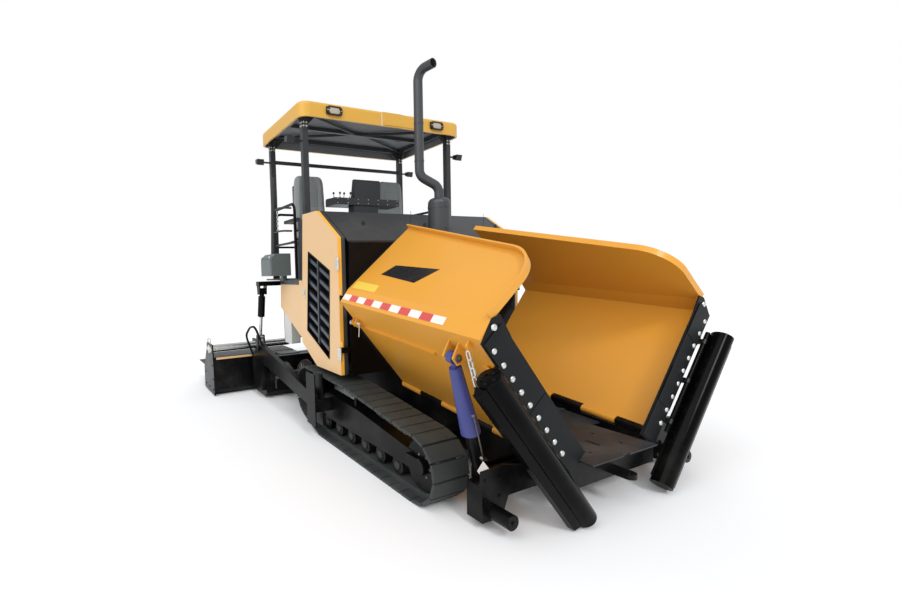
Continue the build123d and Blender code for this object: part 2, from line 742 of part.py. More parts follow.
def make_hood():
    w = bay_half_width + 10
    outline = [(bay_front, hood_line(bay_front)), (430, hood_line(430)), (bay_rear, hood_line(bay_rear)),
               (bay_rear, deck_top_z)]
    inner = [(bay_front + 5, hood_line(bay_front + 5) - hood_wall - 3), (428, hood_line(430) - hood_wall),
             (bay_rear + hood_wall, hood_line(bay_rear) - hood_wall), (bay_rear + hood_wall, deck_top_z - 5)]
    outer = side_prism(outline + [(bay_front, deck_top_z)], -w, w)
    hood = outer - side_prism(inner + [(bay_front + 5, deck_top_z - 5)], -w - 5, w + 5)
    return hood


def make_engine():
    x0, x1 = engine_x
    return box(x0, x1, -engine_half_width, engine_half_width, deck_z + deck_wall, engine_top)


# ---- doors and side panels ----
def door_outline():
    return [(70, 2370), (430, 2361), (door_front, hood_line(door_front)), (door_front, door_bottom),
            (330, door_bottom), (-60, 940)]


def make_door():
    outline = door_outline()
    y1 = door_outer_y
    y0 = y1 - door_depth
    skin = side_prism(outline, y1 - door_wall, y1)
    face = make_face(Polyline(*[(x, z) for x, z in outline], close=True))
    plane = Plane(origin=(0, y0, 0), x_dir=(1, 0, 0), z_dir=(0, -1, 0))
    rim = face - offset(face, amount=-door_wall)
    door = skin + extrude(plane * rim, amount=-door_depth)
    window = [(200, 1950), (700, 1740), (640, 850), (110, 1090)]
    door -= side_prism(window, y0 - 5, y1 + 5)
    # louvre slats in two columns, sloping down and outwards
    slats = []
    count = 8
    opening = side_prism(window, y1 - 45, y1)
    for index in range(count):
        z = 960 + index * 125
        slat = side_prism([(80, z + 190), (720, z - 90), (720, z - 50), (80, z + 230)], y1 - 32, y1 - 12)
        slats.append(slat)
    slats.append(side_prism([(405, 2000), (435, 2000), (395, 800), (365, 800)], y1 - 32, y1 - 4))
    grille = fused(slats) & opening
    door += grille
    # moving hinge knuckles, above the fixed ones
    hx, hy = door_hinge
    radius, height = door_knuckle
    for z in door_hinge_z:
        knuckle = Pos(hx, hy, z + height / 4 + moving_gap / 4) * Cylinder(radius, height / 2 - moving_gap / 2)
        knuckle += box(door_front - 2, hx, hy - 6, hy + 6, z + moving_gap / 2, z + height / 2)
        knuckle -= Pos(hx, hy, z) * Cylinder(5 + running_gap, height + 2)
        door += knuckle
    return door


def make_side_panels():
    outline = [(-780, 1640), (-810, 1300), (-75, 945), (-75, 1640)]
    left = side_prism(outline, 1110, 1170)
    return Compound(children=[left, mirror(left, about=Plane.XZ)])


# ---- operator's station ----
def make_platform():
    w, inner = platform_half_width, 1110
    floor = box(platform_rear, -75, -w, w, deck_top_z - 20, deck_top_z)
    floor += box(-80, bay_rear, -inner, inner, deck_top_z - 20, deck_top_z)
    floor += box(frame_rear - 15, frame_rear, -inner, inner, 870, deck_top_z - 15)
    floor += box(-60, -45, -inner, inner, 850, deck_top_z - 15)
    for side in (-1, 1):
        y0, y1 = sorted((side * frame_y, side * (frame_y + frame_wall)))
        floor -= box(platform_rear + 100, -60, y0, y1, 800, deck_top_z - 20)
        # side cheek behind the door, and the tank hung behind the side panel
        floor += box(-290, -80, *sorted((side * 1090, side * 1102)), deck_top_z - 5, 2350)
        tank = box(frame_rear - 5, -610, *sorted((side * 990, side * inner)), 830, 1290)
        floor += fillet(tank.edges().filter_by(Axis.Y), 30)
    return floor


rail_radius = 17
rail_top = 2560
rail_middle = 2100
rail_bend = 90


def hoop(start, end, plane_y=None, plane_x=None):
    # bent tube up from the floor, across and down again
    points = []
    for at, z in ((start, deck_top_z), (start, rail_top), (end, rail_top), (end, deck_top_z)):
        points.append((at, plane_y, z) if plane_x is None else (plane_x, at, z))
    path = FilletPolyline(*points, radius=rail_bend)
    tube = sweep(Plane(origin=points[0], z_dir=(0, 0, 1)) * Circle(rail_radius), path=path)
    low = [(x, y, rail_middle) for x, y, z in points[1:3]]
    return tube + rod(low[0], low[1], rail_radius - 3)


def make_handrails():
    side_y, rear_x = 1120, -1380
    rails = [hoop(-350, -1150, plane_y=side * side_y) for side in (-1, 1)]
    rails += [hoop(side * 1000, side * 260, plane_x=rear_x) for side in (-1, 1)]
    return Compound(children=rails)


def make_seat_bases():
    left = box(seat_x - 230, seat_x + 200, seat_y - 190, seat_y + 190, deck_top_z, 2130)
    left += box(seat_x - 260, seat_x + 240, seat_y - seat_half_width, seat_y + seat_half_width, 2130, 2160)
    left += box(seat_x - 300, seat_x - 262, seat_y - 200, seat_y + 200, 2130, 2900)
    for side in (-1, 1):
        y = seat_y + side * (seat_half_width + 45)
        left += box(seat_x - 290, seat_x + 120, y - 35, y + 35, 2390, 2430)
        left += box(seat_x - 290, seat_x - 262, min(seat_y, y), max(seat_y, y), 2390, 2430)
    return Compound(children=[left, mirror(left, about=Plane.XZ)])


def make_seat_cushions():
    pieces = []
    for side in (-1, 1):
        y = side * seat_y
        pieces.append(box(seat_x - 230, seat_x + 260, y - seat_half_width, y + seat_half_width, 2160.3, 2290))
        pieces.append(box(seat_x - 261.7, seat_x - 140, y - seat_half_width + 4, y + seat_half_width - 4, 2290.3, 3050))
    return Compound(children=pieces)


def make_consoles():
    # instrument stand between the seats, and the screed's control boxes outside
    stand = box(-500, -350, -300, 60, deck_top_z, 2570)
    stand += side_prism([(-620, 2570), (-335, 2570), (-335, 2655), (-600, 2670), (-620, 2650)], -570, 380)
    stand += side_prism([(-500, 2650), (-380, 2650), (-380, 2880), (-400, 2905), (-440, 2900)], -265, 120)
    pieces = [stand]
    for side in (-1, 1):
        outline = [(1152, 1700), (1400, 1700), (1400, 1920), (1340, 1970), (1152, 1970)]
        crate = cross_prism([(side * y, z) for y, z in outline][:: side], -850, -450)
        crate += box(-700, -600, *sorted((side * 1150, side * 1200)), 1640, 1710)
        # leaning mast on the box, with two bent grab rails
        mast_foot, mast_top = (-650, side * 1300, 1960), (-545, side * 1300, 2890)
        crate += rod(mast_foot, mast_top, 30)
        for z in (2230, 2500):
            start = on_line(mast_foot, mast_top, (z - 1960) / 930)
            path = FilletPolyline(start, (-340, side * 1300, z), (-340, side * 1165, z), radius=60)
            crate += sweep(Plane(origin=start, z_dir=(-340 - start[0], 0, z - start[2])) * Circle(11), path=path)
        pieces.append(crate)
    return Compound(children=pieces)


def make_canopy_roof():
    x0, x1 = canopy_back, canopy_front
    roof = box(x0, x1, -canopy_half_width, canopy_half_width, canopy_top - canopy_depth, canopy_top)
    roof = fillet(roof.edges().filter_by(Axis.Z), 130)
    roof = fillet(roof.faces().sort_by(Axis.Z)[-1].edges(), 40)
    hollow = box(x0 + canopy_wall, x1 - canopy_wall, -canopy_half_width + canopy_wall,
                 canopy_half_width - canopy_wall, canopy_top - canopy_depth - 5, canopy_top - canopy_wall - 20)
    hollow = fillet(hollow.edges().filter_by(Axis.Z), 105)
    return roof - hollow


def make_canopy_frame():
    top = canopy_top - canopy_wall - 20
    pieces = []
    half = post_size / 2
    for x in post_x:
        for side in (-1, 1):
            y = side * post_y
            pieces.append(box(x - half, x + half, y - half, y + half, deck_top_z, top))
        pieces.append(box(x - 30, x + 30, -post_y, post_y, top - 60, top))
    for side in (-1, 1):
        y = side * post_y
        pieces.append(box(post_x[1], post_x[0], y - 30, y + 30, top - 60, top))
    pieces.append(rod((post_x[1], -post_y, top - 355), (post_x[1], post_y, top - 355), 25))
    # braces under the roof, and gussets at the posts' heads
    middle_x = sum(post_x) / 2
    pieces.append(box(middle_x - 25, middle_x + 25, -post_y, post_y, top - 50, top))
    for x in post_x:
        for side in (-1, 1):
            pieces.append(rod((x, side * post_y, top - 30), (middle_x, side * 60, top - 30), 18))
            inward = 1 if x < middle_x else -1
            gusset = [(x, top - 50), (x, top - 50 - gusset_leg), (x + inward * gusset_leg, top - 50)]
            pieces.append(side_prism(gusset, side * post_y - 5, side * post_y + 5))
            across = [(post_y, top - 50), (post_y, top - 50 - gusset_leg), (post_y - gusset_leg, top - 50)]
            pieces.append(cross_prism([(side * y, z) for y, z in across], x - 5, x + 5))
    return fused(pieces)


def make_lamps():
    pieces = []
    for y in (-lamp_y, lamp_y):
        pieces.append(box(canopy_front, canopy_front + 22, y - 100, y + 100, canopy_top - 130, canopy_top - 50))
    for x in post_x:
        for side in (-1, 1):
            z = canopy_top - 410
            face = side * (post_y + post_size / 2)
            pieces.append(rod((x, face, z), (x, face + side * 105, z), 12))
            outline = [(x - 40, z - 15), (x + 30, z - 45), (x + 50, z + 30), (x - 40, z + 35)]
            pieces.append(side_prism(outline, *sorted((face + side * 100, face + side * 195))))
    return Compound(children=pieces)


def make_exhaust():
    mx, my = muffler_at
    z0, z1 = muffler_z
    body = Pos(mx, my, (z0 + z1) / 2) * Cylinder(muffler_radius, z1 - z0)
    body = fillet(body.edges().sort_by(Axis.Z)[-1], 60)
    stack_x = mx - 70
    outlet = (mx + 150, pipe_y + 30, pipe_top)
    line = FilletPolyline((mx, my, z1 - 40), (mx, my, z1 + 120), (stack_x, pipe_y, z1 + 240),
                          (stack_x, pipe_y, pipe_top), outlet, radius=pipe_bend)
    profile = Plane(origin=(mx, my, z1 - 40), z_dir=(0, 0, 1)) * Circle(pipe_radius)
    pipe = sweep(profile, path=line)
    mouth = on_line((stack_x, pipe_y, pipe_top), outlet, 0.7)
    pipe -= rod(mouth, outlet, pipe_radius - 7)
    cut = side_prism([(bay_rear, 1700), (bay_rear, hood_line(bay_rear)), (430, hood_line(430)),
                      (bay_front + 60, hood_line(bay_front + 60)), (bay_front + 60, 1700)], -600, 600)
    return fused([body, pipe]) - cut


# ---- augers ----
def helical_blade(y0, y1, pitch, inner, outer, wall, hand):
    # flight of flat facets round the shaft, a closed shell of triangles
    ax, az = auger_at
    count = ceil((y1 - y0 - wall) / pitch * 18)
    rows = []
    for index in range(count + 1):
        y = y0 + (y1 - y0 - wall) * index / count
        angle = hand * 2 * pi * (y - y0) / pitch
        c, s = cos(angle), sin(angle)
        rows.append([(ax + inner * c, y, az + inner * s), (ax + outer * c, y, az + outer * s),
                     (ax + outer * c, y + wall, az + outer * s), (ax + inner * c, y + wall, az + inner * s)])
    faces = []

    def facet(a, b, c):
        faces.append(make_face(Polyline(a, b, c, close=True)).face())

    for one, two in zip(rows[:-1], rows[1:]):
        for k in range(4):
            j = (k + 1) % 4
            facet(one[k], one[j], two[j])
            facet(one[k], two[j], two[k])
    for end in (rows[0], rows[-1]):
        facet(end[0], end[1], end[2])
        facet(end[0], end[2], end[3])
    return Solid(Shell(faces))


def make_auger():
    ax, az = auger_at
    shaft = rod((ax, auger_case_half_width + running_gap, az), (ax, 1238 - running_gap, az), auger_shaft_radius)
    blade = helical_blade(auger_inner_y + 10, auger_outer_y, auger_pitch, auger_shaft_radius + running_gap,
                          auger_radius, auger_blade, 1)
    return Compound(children=[shaft, blade])


# ---- screed ----
def make_tow_arms():
    tx, tz = tow_point
    y0, y1 = tow_arm_y, tow_arm_y + tow_arm_wall
    beam = [(tx - 20, tz - 75), (tx - 20, tz + 75), (-1150, 760), (-1420, 720), (-1640, 500), (-1640, 120),
            (-1250, 120), (-1180, 520)]
    arm = side_prism(beam, y0, y1)
    arm += rod((tx, y0, tz), (tx, y1, tz), 75)
    arm -= rod((tx, y0 - 5, tz), (tx, y1 + 5, tz), tow_pin_radius + running_gap)
    ex, ez = lift_eye
    for side in (-1, 1):
        y = lift_y + side * (lift_eye_width / 2 + moving_gap + 7)
        ear = side_prism([(ex - 50, 680), (ex + 60, 680), (ex + 30, ez + 30), (ex - 30, ez + 30)], y - 7, y + 7)
        arm += ear + thrust_washer(ex, ez, side)
    arm += box(ex - 50, ex + 60, lift_y - 53, lift_y + 53, 690, 712)
    return Compound(children=[arm, mirror(arm, about=Plane.XZ)])


def make_screed_main():
    w = screed_half_width
    section = [(screed_front, screed_low + 60), (screed_front - 60, screed_low), (screed_rear, screed_low),
               (screed_rear, 360), (screed_rear + 60, screed_top), (screed_front - 70, screed_top),
               (screed_front, 430)]
    body = casing(section, -w, w, casing_wall)
    # carrier plates over the extensions, with the guide tubes' bores
    for side in (-1, 1):
        for y in (1150, 0):
            y0, y1 = sorted((side * y, side * (y + 30)))
            plate = side_prism([(screed_rear + 40, 420), (screed_rear + 40, 740), (guide_x[2] - 60, 740),
                                (guide_x[2] - 60, 590), (screed_rear - 20, 590), (screed_rear - 20, 420)], y0, y1)
            if y == 1150:
                plate -= rod((guide_x[1], side * 1100, guide_z), (guide_x[1], side * 1250, guide_z),
                             guide_radius + 0.5)
                for x in (guide_x[0], guide_x[2]):
                    plate -= rod((x, side * 1100, guide_z), (x, side * 1250, guide_z), guide_rod_radius + 0.5)
            body += plate
    # walkway across the middle, on two brackets
    body += box(walkway_rear, -2420, -600, 600, 300, 312)
    for y in (-12, 12):
        body += box(walkway_rear + 100, screed_rear + 5, y - 6, y + 6, 200, 305)
    return body


def make_extension():
    y0, y1 = extension_inner_y, extension_outer_y
    section = [(extension_front, screed_low + 50), (extension_front - 50, screed_low),
               (extension_rear, screed_low), (extension_rear, 300), (extension_rear + 120, extension_top),
               (extension_front, extension_top)]
    body = casing(section, y0, y1, casing_wall)
    gate = [(screed_rear - 40, 15), (extension_rear - 80, 15), (extension_rear - 80, 330), (-2180, 640),
            (-2150, 740), (-1780, 740), (screed_rear - 40, 420)]
    body += side_prism(gate, y1, y1 + gate_wall)
    body += box(walkway_rear, extension_rear + 5, y0 + 20, y1, 340, 352)
    body += box(extension_rear - 5, extension_rear + 40, y0 + 20, y1, 280, 352)
    return body


def make_guide_tubes():
    y0, y1 = extension_inner_y, extension_outer_y
    pieces = [rod((guide_x[1], y0, guide_z), (guide_x[1], y1, guide_z), guide_radius)]
    for x in (guide_x[0], guide_x[2]):
        pieces.append(rod((x, y0, guide_z), (x, y1, guide_z), guide_rod_radius))
    return Compound(children=pieces)


# ---- screed lift cylinders ----
lift_run = Vector(lift_eye[0] - lift_top[0], 0, lift_eye[1] - lift_top[1])
lift_rest = lift_run.length
lift_dir = lift_run.normalized()


def lift_at(distance):
    return (lift_top[0] + lift_dir.X * distance, lift_y, lift_top[1] + lift_dir.Z * distance)


def make_lift_barrel():
    radius, length = lift_barrel
    half = lift_eye_width / 2
    x, z = lift_top
    piece = rod(lift_at(0), lift_at(neck_length), lift_neck_radius)
    piece += rod(lift_at(neck_length), lift_at(length), radius)
    piece += rod((x, lift_y - half, z), (x, lift_y + half, z), eye_radius)
    piece -= rod((x, lift_y - half - 5, z), (x, lift_y + half + 5, z), foot_pin_radius + running_gap)
    return piece - rod(lift_at(48), lift_at(length + 1), lift_bore_radius)


def make_lift_rod():
    half = lift_eye_width / 2
    x, y, z = lift_at(lift_rest)
    piece = rod(lift_at(lift_rod_start), lift_at(lift_rest), lift_rod_radius)
    piece += rod(lift_at(lift_rod_start), lift_at(lift_rod_start + piston_length), lift_bore_radius - running_gap)
    return piece + rod((x, y - half, z), (x, y + half, z), 38)


# ---- export ----
centre_pieces = {
    "main_frame": make_main_frame,
    "front_plate": make_front_plate,
    "conveyor": make_conveyor,
    "bulkhead": make_bulkhead,
    "hood": make_hood,
    "engine_block": make_engine,
    "side_panels": make_side_panels,
    "platform": make_platform,
    "handrails": make_handrails,
    "seat_bases": make_seat_bases,
    "seat_cushions": make_seat_cushions,
    "consoles": make_consoles,
    "canopy_roof": make_canopy_roof,
    "canopy_frame": make_canopy_frame,
    "work_lamps": make_lamps,
    "exhaust": make_exhaust,
    "screed_main": make_screed_main,
    "tow_arms": make_tow_arms,
}
sided_pieces = {
    "wing": make_wing,
    "wing_flap": make_flap,
    "apron": make_apron,
    "apron_chain": make_chain,
    "hopper_barrel": make_hopper_barrel,
    "hopper_rod": make_hopper_rod,
    "track": make_track,
    "track_frame": make_track_frame,
    "door": make_door,
    "auger": make_auger,
    "screed_extension": make_extension,
    "guide_tubes": make_guide_tubes,
    "lift_barrel": make_lift_barrel,
    "lift_rod": make_lift_rod,
}

os.makedirs("parts", exist_ok=True)
for name, make in centre_pieces.items():
    export_step(make(), f"parts/{name}.step")
for name, make in sided_pieces.items():
    left = make()
    export_step(left, f"parts/{name}_left.step")
    export_step(mirror(left, about=Plane.XZ), f"parts/{name}_right.step")
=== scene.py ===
import bpy
import numpy as np
from mathutils import Matrix, Vector


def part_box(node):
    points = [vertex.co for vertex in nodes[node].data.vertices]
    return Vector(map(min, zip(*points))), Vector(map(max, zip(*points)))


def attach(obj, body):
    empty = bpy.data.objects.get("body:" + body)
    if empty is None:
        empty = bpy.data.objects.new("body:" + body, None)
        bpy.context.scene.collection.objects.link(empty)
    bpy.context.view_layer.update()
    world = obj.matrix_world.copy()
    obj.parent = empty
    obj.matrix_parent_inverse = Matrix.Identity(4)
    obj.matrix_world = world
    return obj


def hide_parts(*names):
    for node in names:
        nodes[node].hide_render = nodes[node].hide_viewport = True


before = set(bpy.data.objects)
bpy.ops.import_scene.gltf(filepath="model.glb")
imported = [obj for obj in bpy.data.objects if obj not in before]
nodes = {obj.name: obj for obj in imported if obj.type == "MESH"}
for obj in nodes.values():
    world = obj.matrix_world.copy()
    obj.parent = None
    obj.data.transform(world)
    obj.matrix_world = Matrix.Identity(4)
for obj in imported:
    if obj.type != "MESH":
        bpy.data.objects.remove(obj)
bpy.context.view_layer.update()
# places below are in the part's own coordinates, which this slides onto the frame
slide = np.array([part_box("canopy_roof")[1][0] - 0.010, 0.0, 0.0])
ahead, leftward, upward = (1, 0, 0), (0, 1, 0), (0, 0, 1)
print("frame loaded:", len(nodes), "nodes")


# camera, lights and floor
cameraValues = {
    "place": (4.6935, -3.1905, 1.7175),
    "yaw": 63.82, "pitch": -3.617, "roll": -1.781,  # degrees
    "lens": 18.021, "shiftX": 0.1355, "shiftY": 0.0016,
}


def addCamera(values):
    yaw, pitch, roll = np.radians([values["yaw"], values["pitch"], values["roll"]])
    forward = np.array([-np.sin(yaw) * np.cos(pitch), np.cos(yaw) * np.cos(pitch), np.sin(pitch)])
    level = np.array([np.cos(yaw), np.sin(yaw), 0.0])
    upright = np.cross(level, forward)
    right = np.cos(roll) * level + np.sin(roll) * upright
    up = -np.sin(roll) * level + np.cos(roll) * upright
    data = bpy.data.cameras.new("camera")
    data.lens, data.sensor_width = values["lens"], 36.0
    data.shift_x, data.shift_y = values["shiftX"], values["shiftY"]
    data.clip_end = 200.0
    camera = bpy.data.objects.new("camera", data)
    matrix = np.eye(4)
    matrix[:3, 0], matrix[:3, 1], matrix[:3, 2] = right, up, -forward
    matrix[:3, 3] = np.array(values["place"]) + slide
    camera.matrix_world = Matrix(matrix.tolist())
    bpy.context.scene.collection.objects.link(camera)
    bpy.context.scene.camera = camera


lightValues = {
    "worldColour": (0.93, 0.96, 1.0), "worldStrength": 0.74,
    "sunFrom": (0.92, -0.12, 0.86), "sunPower": 0.95, "sunSoftness": 14.0,  # degrees
    "sideFrom": (0.4, -0.85, 0.75), "sidePower": 1.45, "sideSoftness": 60.0,
    "floorColour": 0.93, "floorHalf": 60.0,
}


def addSun(name, source, power, softness):
    data = bpy.data.lights.new(name, "SUN")
    data.energy, data.angle = power, np.radians(softness)
    sun = bpy.data.objects.new(name, data)
    sun.rotation_mode = "QUATERNION"
    sun.rotation_quaternion = Vector(source).to_track_quat("Z", "Y")
    bpy.context.scene.collection.objects.link(sun)


def addStudio(values):
    world = bpy.data.worlds.new("studio")
    bpy.context.scene.world = world
    world.use_nodes = True
    tree = world.node_tree
    tree.nodes.clear()
    output = tree.nodes.new("ShaderNodeOutputWorld")
    mix = tree.nodes.new("ShaderNodeMixShader")
    soft = tree.nodes.new("ShaderNodeBackground")
    plain = tree.nodes.new("ShaderNodeBackground")
    rays = tree.nodes.new("ShaderNodeLightPath")
    soft.inputs["Color"].default_value = (*values["worldColour"], 1.0)
    soft.inputs["Strength"].default_value = values["worldStrength"]
    plain.inputs["Color"].default_value = (1.0, 1.0, 1.0, 1.0)
    tree.links.new(rays.outputs["Is Camera Ray"], mix.inputs["Fac"])
    tree.links.new(soft.outputs[0], mix.inputs[1])
    tree.links.new(plain.outputs[0], mix.inputs[2])
    tree.links.new(mix.outputs[0], output.inputs["Surface"])
    addSun("sun", values["sunFrom"], values["sunPower"], values["sunSoftness"])
    addSun("sideFill", values["sideFrom"], values["sidePower"], values["sideSoftness"])
    # pale floor, far wider than the machine
    mesh = bpy.data.meshes.new("floor")
    half = values["floorHalf"]
    mesh.from_pydata([(-half, -half, 0), (half, -half, 0), (half, half, 0), (-half, half, 0)], [],
                     [(0, 1, 2, 3)])
    floor = bpy.data.objects.new("floor", mesh)
    bpy.context.scene.collection.objects.link(floor)
    paint = bpy.data.materials.new("floorPaint")
    paint.use_nodes = True
    shader = paint.node_tree.nodes["Principled BSDF"]
    shader.inputs["Base Color"].default_value = (*[values["floorColour"]] * 3, 1.0)
    shader.inputs["Roughness"].default_value = 0.9
    shader.inputs["Specular IOR Level"].default_value = 0.1
    mesh.materials.append(paint)


addCamera(cameraValues)
addStudio(lightValues)
bpy.context.scene.view_settings.view_transform = "Standard"
print("camera, lights and floor placed")


# shared effects: dust, fine grain, scratches and boxes of a second colour
def newGroup(name, inputs, outputs):
    group = bpy.data.node_groups.new(name, "ShaderNodeTree")
    for label, kind, value in inputs:
        socket = group.interface.new_socket(label, in_out="INPUT", socket_type=kind)
        socket.default_value = value
    for label, kind in outputs:
        group.interface.new_socket(label, in_out="OUTPUT", socket_type=kind)
    place = group.nodes.new("ShaderNodeTexCoord").outputs["Object"]
    return group, group.nodes.new("NodeGroupInput"), group.nodes.new("NodeGroupOutput"), place


def axesOf(tree, source):
    split = tree.nodes.new("ShaderNodeSeparateXYZ")
    tree.links.new(source, split.inputs[0])
    return [split.outputs[axis] for axis in "XYZ"]


def math(tree, operation, first, second=None, clamp=False):
    node = tree.nodes.new("ShaderNodeMath")
    node.operation, node.use_clamp = operation, clamp
    for socket, value in zip(node.inputs, (first, second)):
        if value is None:
            continue
        if isinstance(value, (int, float)):
            socket.default_value = value
        else:
            tree.links.new(value, socket)
    return node.outputs[0]


def noise(tree, position, scale, detail=3.0, rough=0.5):
    node = tree.nodes.new("ShaderNodeTexNoise")
    node.inputs["Detail"].default_value = detail
    node.inputs["Roughness"].default_value = rough
    tree.links.new(position, node.inputs["Vector"])
    if isinstance(scale, (int, float)):
        node.inputs["Scale"].default_value = scale
    else:
        tree.links.new(scale, node.inputs["Scale"])
    return node.outputs["Fac"]


def ramp(tree, value, low, high):
    # 0 below low, 1 above high, smooth between
    node = tree.nodes.new("ShaderNodeMapRange")
    node.interpolation_type = "SMOOTHSTEP"
    node.inputs["From Min"].default_value, node.inputs["From Max"].default_value = low, high
    tree.links.new(value, node.inputs["Value"])
    return node.outputs["Result"]


def mixColours(tree, share, first, second, blend="MIX"):
    node = tree.nodes.new("ShaderNodeMix")
    node.data_type, node.blend_type = "RGBA", blend
    for socket, value in ((node.inputs[0], share), (node.inputs[6], first), (node.inputs[7], second)):
        if isinstance(value, (int, float, tuple)):
            socket.default_value = value
        else:
            tree.links.new(value, socket)
    return node.outputs[2]


def makeDustGroup():
    # dust = amount x (patchy noise), more near the ground and on faces that look up
    group, entry, leave, place = newGroup("dust", [
        ("Color", "NodeSocketColor", (0.5, 0.5, 0.5, 1.0)),
        ("Dust", "NodeSocketColor", (0.35, 0.31, 0.26, 1.0)),
        ("Amount", "NodeSocketFloat", 0.2),
        ("Ground", "NodeSocketFloat", 0.3),
        ("Tone", "NodeSocketFloat", 0.08),
        ("Roughness", "NodeSocketFloat", 0.4),
    ], [("Color", "NodeSocketColor"), ("Roughness", "NodeSocketFloat")])
    height = axesOf(group, place)[2]
    facing = axesOf(group, group.nodes.new("ShaderNodeNewGeometry").outputs["Normal"])[2]
    patches = ramp(group, noise(group, place, 3.1, 6.0, 0.62), 0.42, 0.78)
    specks = ramp(group, noise(group, place, 47.0, 4.0, 0.7), 0.5, 0.85)
    above = ramp(group, facing, 0.2, 1.0)
    nearGround = math(group, "SUBTRACT", 1.0, ramp(group, height, 0.05, 0.9))
    soil = math(group, "MULTIPLY", entry.outputs["Ground"], nearGround)
    level = math(group, "ADD", math(group, "MULTIPLY", above, 0.8), 0.35)
    lying = math(group, "MULTIPLY", entry.outputs["Amount"], level)
    total = math(group, "ADD", soil, lying)
    spread = math(group, "ADD", math(group, "MULTIPLY", patches, 0.7), math(group, "MULTIPLY", specks, 0.3))
    mask = math(group, "MULTIPLY", total, spread, clamp=True)
    # slow change of tone over the surface, as on sprayed paint
    slow = math(group, "SUBTRACT", noise(group, place, 1.3, 2.0), 0.5)
    tone = math(group, "ADD", 1.0, math(group, "MULTIPLY", slow, entry.outputs["Tone"]))
    toned = group.nodes.new("ShaderNodeVectorMath")
    toned.operation = "SCALE"
    group.links.new(entry.outputs["Color"], toned.inputs[0])
    group.links.new(tone, toned.inputs["Scale"])
    group.links.new(mixColours(group, mask, toned.outputs[0], entry.outputs["Dust"]), leave.inputs["Color"])
    rougher = math(group, "MULTIPLY", mask, 0.45)
    smear = math(group, "MULTIPLY", math(group, "SUBTRACT", noise(group, place, 9.0, 5.0, 0.6), 0.5), 0.16)
    rough = math(group, "ADD", entry.outputs["Roughness"], rougher)
    group.links.new(math(group, "ADD", rough, smear, clamp=True), leave.inputs["Roughness"])
    return group


def makeGrainGroup():
    # height = fine noise x depth, for cast iron, rubber and orange-peel paint
    group, entry, leave, place = newGroup("grain", [
        ("Scale", "NodeSocketFloat", 300.0), ("Depth", "NodeSocketFloat", 0.2),
    ], [("Height", "NodeSocketFloat")])
    fine = noise(group, place, entry.outputs["Scale"], 3.0, 0.6)
    broad = noise(group, place, 6.0, 2.0)
    height = math(group, "ADD", math(group, "MULTIPLY", fine, 0.8), math(group, "MULTIPLY", broad, 0.6))
    group.links.new(math(group, "MULTIPLY", height, entry.outputs["Depth"]), leave.inputs["Height"])
    return group


def makeBrushGroup():
    # long thin scratches: noise squeezed across the two short directions
    group, entry, leave, place = newGroup("scratches", [
        ("Along", "NodeSocketVector", (1.0, 0.02, 1.0)), ("Scale", "NodeSocketFloat", 180.0),
    ], [("Mask", "NodeSocketFloat")])
    stretch = group.nodes.new("ShaderNodeVectorMath")
    stretch.operation = "MULTIPLY"
    group.links.new(place, stretch.inputs[0])
    group.links.new(entry.outputs["Along"], stretch.inputs[1])
    lines = noise(group, stretch.outputs[0], entry.outputs["Scale"], 4.0, 0.65)
    group.links.new(ramp(group, lines, 0.45, 0.75), leave.inputs["Mask"])
    return group


dustGroup, grainGroup, brushGroup = makeDustGroup(), makeGrainGroup(), makeBrushGroup()


def addGroup(tree, group, **values):
    node = tree.nodes.new("ShaderNodeGroup")
    node.node_tree = group
    for label, value in values.items():
        node.inputs[label].default_value = value
    return node


def linear(red, green, blue):
    # screen colour, 0 to 255, as linear light
    value = np.array([red, green, blue]) / 255.0
    value = np.where(value <= 0.04045, value / 12.92, ((value + 0.055) / 1.055) ** 2.4)
    return (*[float(part) for part in value], 1.0)


def makeRegionGroup():
    # 1 inside a box of (x, distance from the middle plane, z), 0 outside
    group, entry, leave, place = newGroup("region", [
        ("Low", "NodeSocketVector", (0.0, 0.0, 0.0)), ("High", "NodeSocketVector", (1.0, 1.0, 1.0)),
    ], [("Mask", "NodeSocketFloat")])
    parts = [axesOf(group, source) for source in (place, entry.outputs["Low"], entry.outputs["High"])]
    parts[0][1] = math(group, "ABSOLUTE", parts[0][1])
    mask = None
    for value, low, high in zip(*parts):
        above, below = math(group, "GREATER_THAN", value, low), math(group, "LESS_THAN", value, high)
        within = math(group, "MULTIPLY", above, below)
        mask = within if mask is None else math(group, "MULTIPLY", mask, within)
    group.links.new(mask, leave.inputs["Mask"])
    return group


regionGroup = makeRegionGroup()
regions = {
    # finish: the finish it starts from, then each second colour and the corners of its box,
    # which are (x, distance from the middle plane, z)
    "wingPaint": ("orangePaint", [(linear(14, 14, 15), (2.752, 0.0, 0.0), (3.2, 2.0, 3.0))]),
    "doorPaint": ("creamPaint", [(linear(240, 176, 56), (-0.1, 0.9, 0.7), (0.95, 1.1985, 2.4)),
                                 (linear(50, 56, 66), (0.1, 0.9, 0.85), (0.71, 1.1925, 1.96)),
                                 (linear(50, 51, 53), (-0.1, 0.9, 0.7), (0.95, 1.162, 2.4)),
                                 (linear(34, 36, 40), (0.355, 0.9, 0.8), (0.44, 1.197, 2.0))]),
    "consolePaint": ("greyPaint", [(linear(88, 95, 94), (-0.852, 1.149, 1.6), (-0.448, 1.41, 1.975))]),
    "deckPaint": ("greyPaint", [(linear(206, 206, 202), (-0.849, 0.985, 0.82), (-0.6, 1.1105, 1.3))]),
}
dustColour = linear(138, 134, 126)
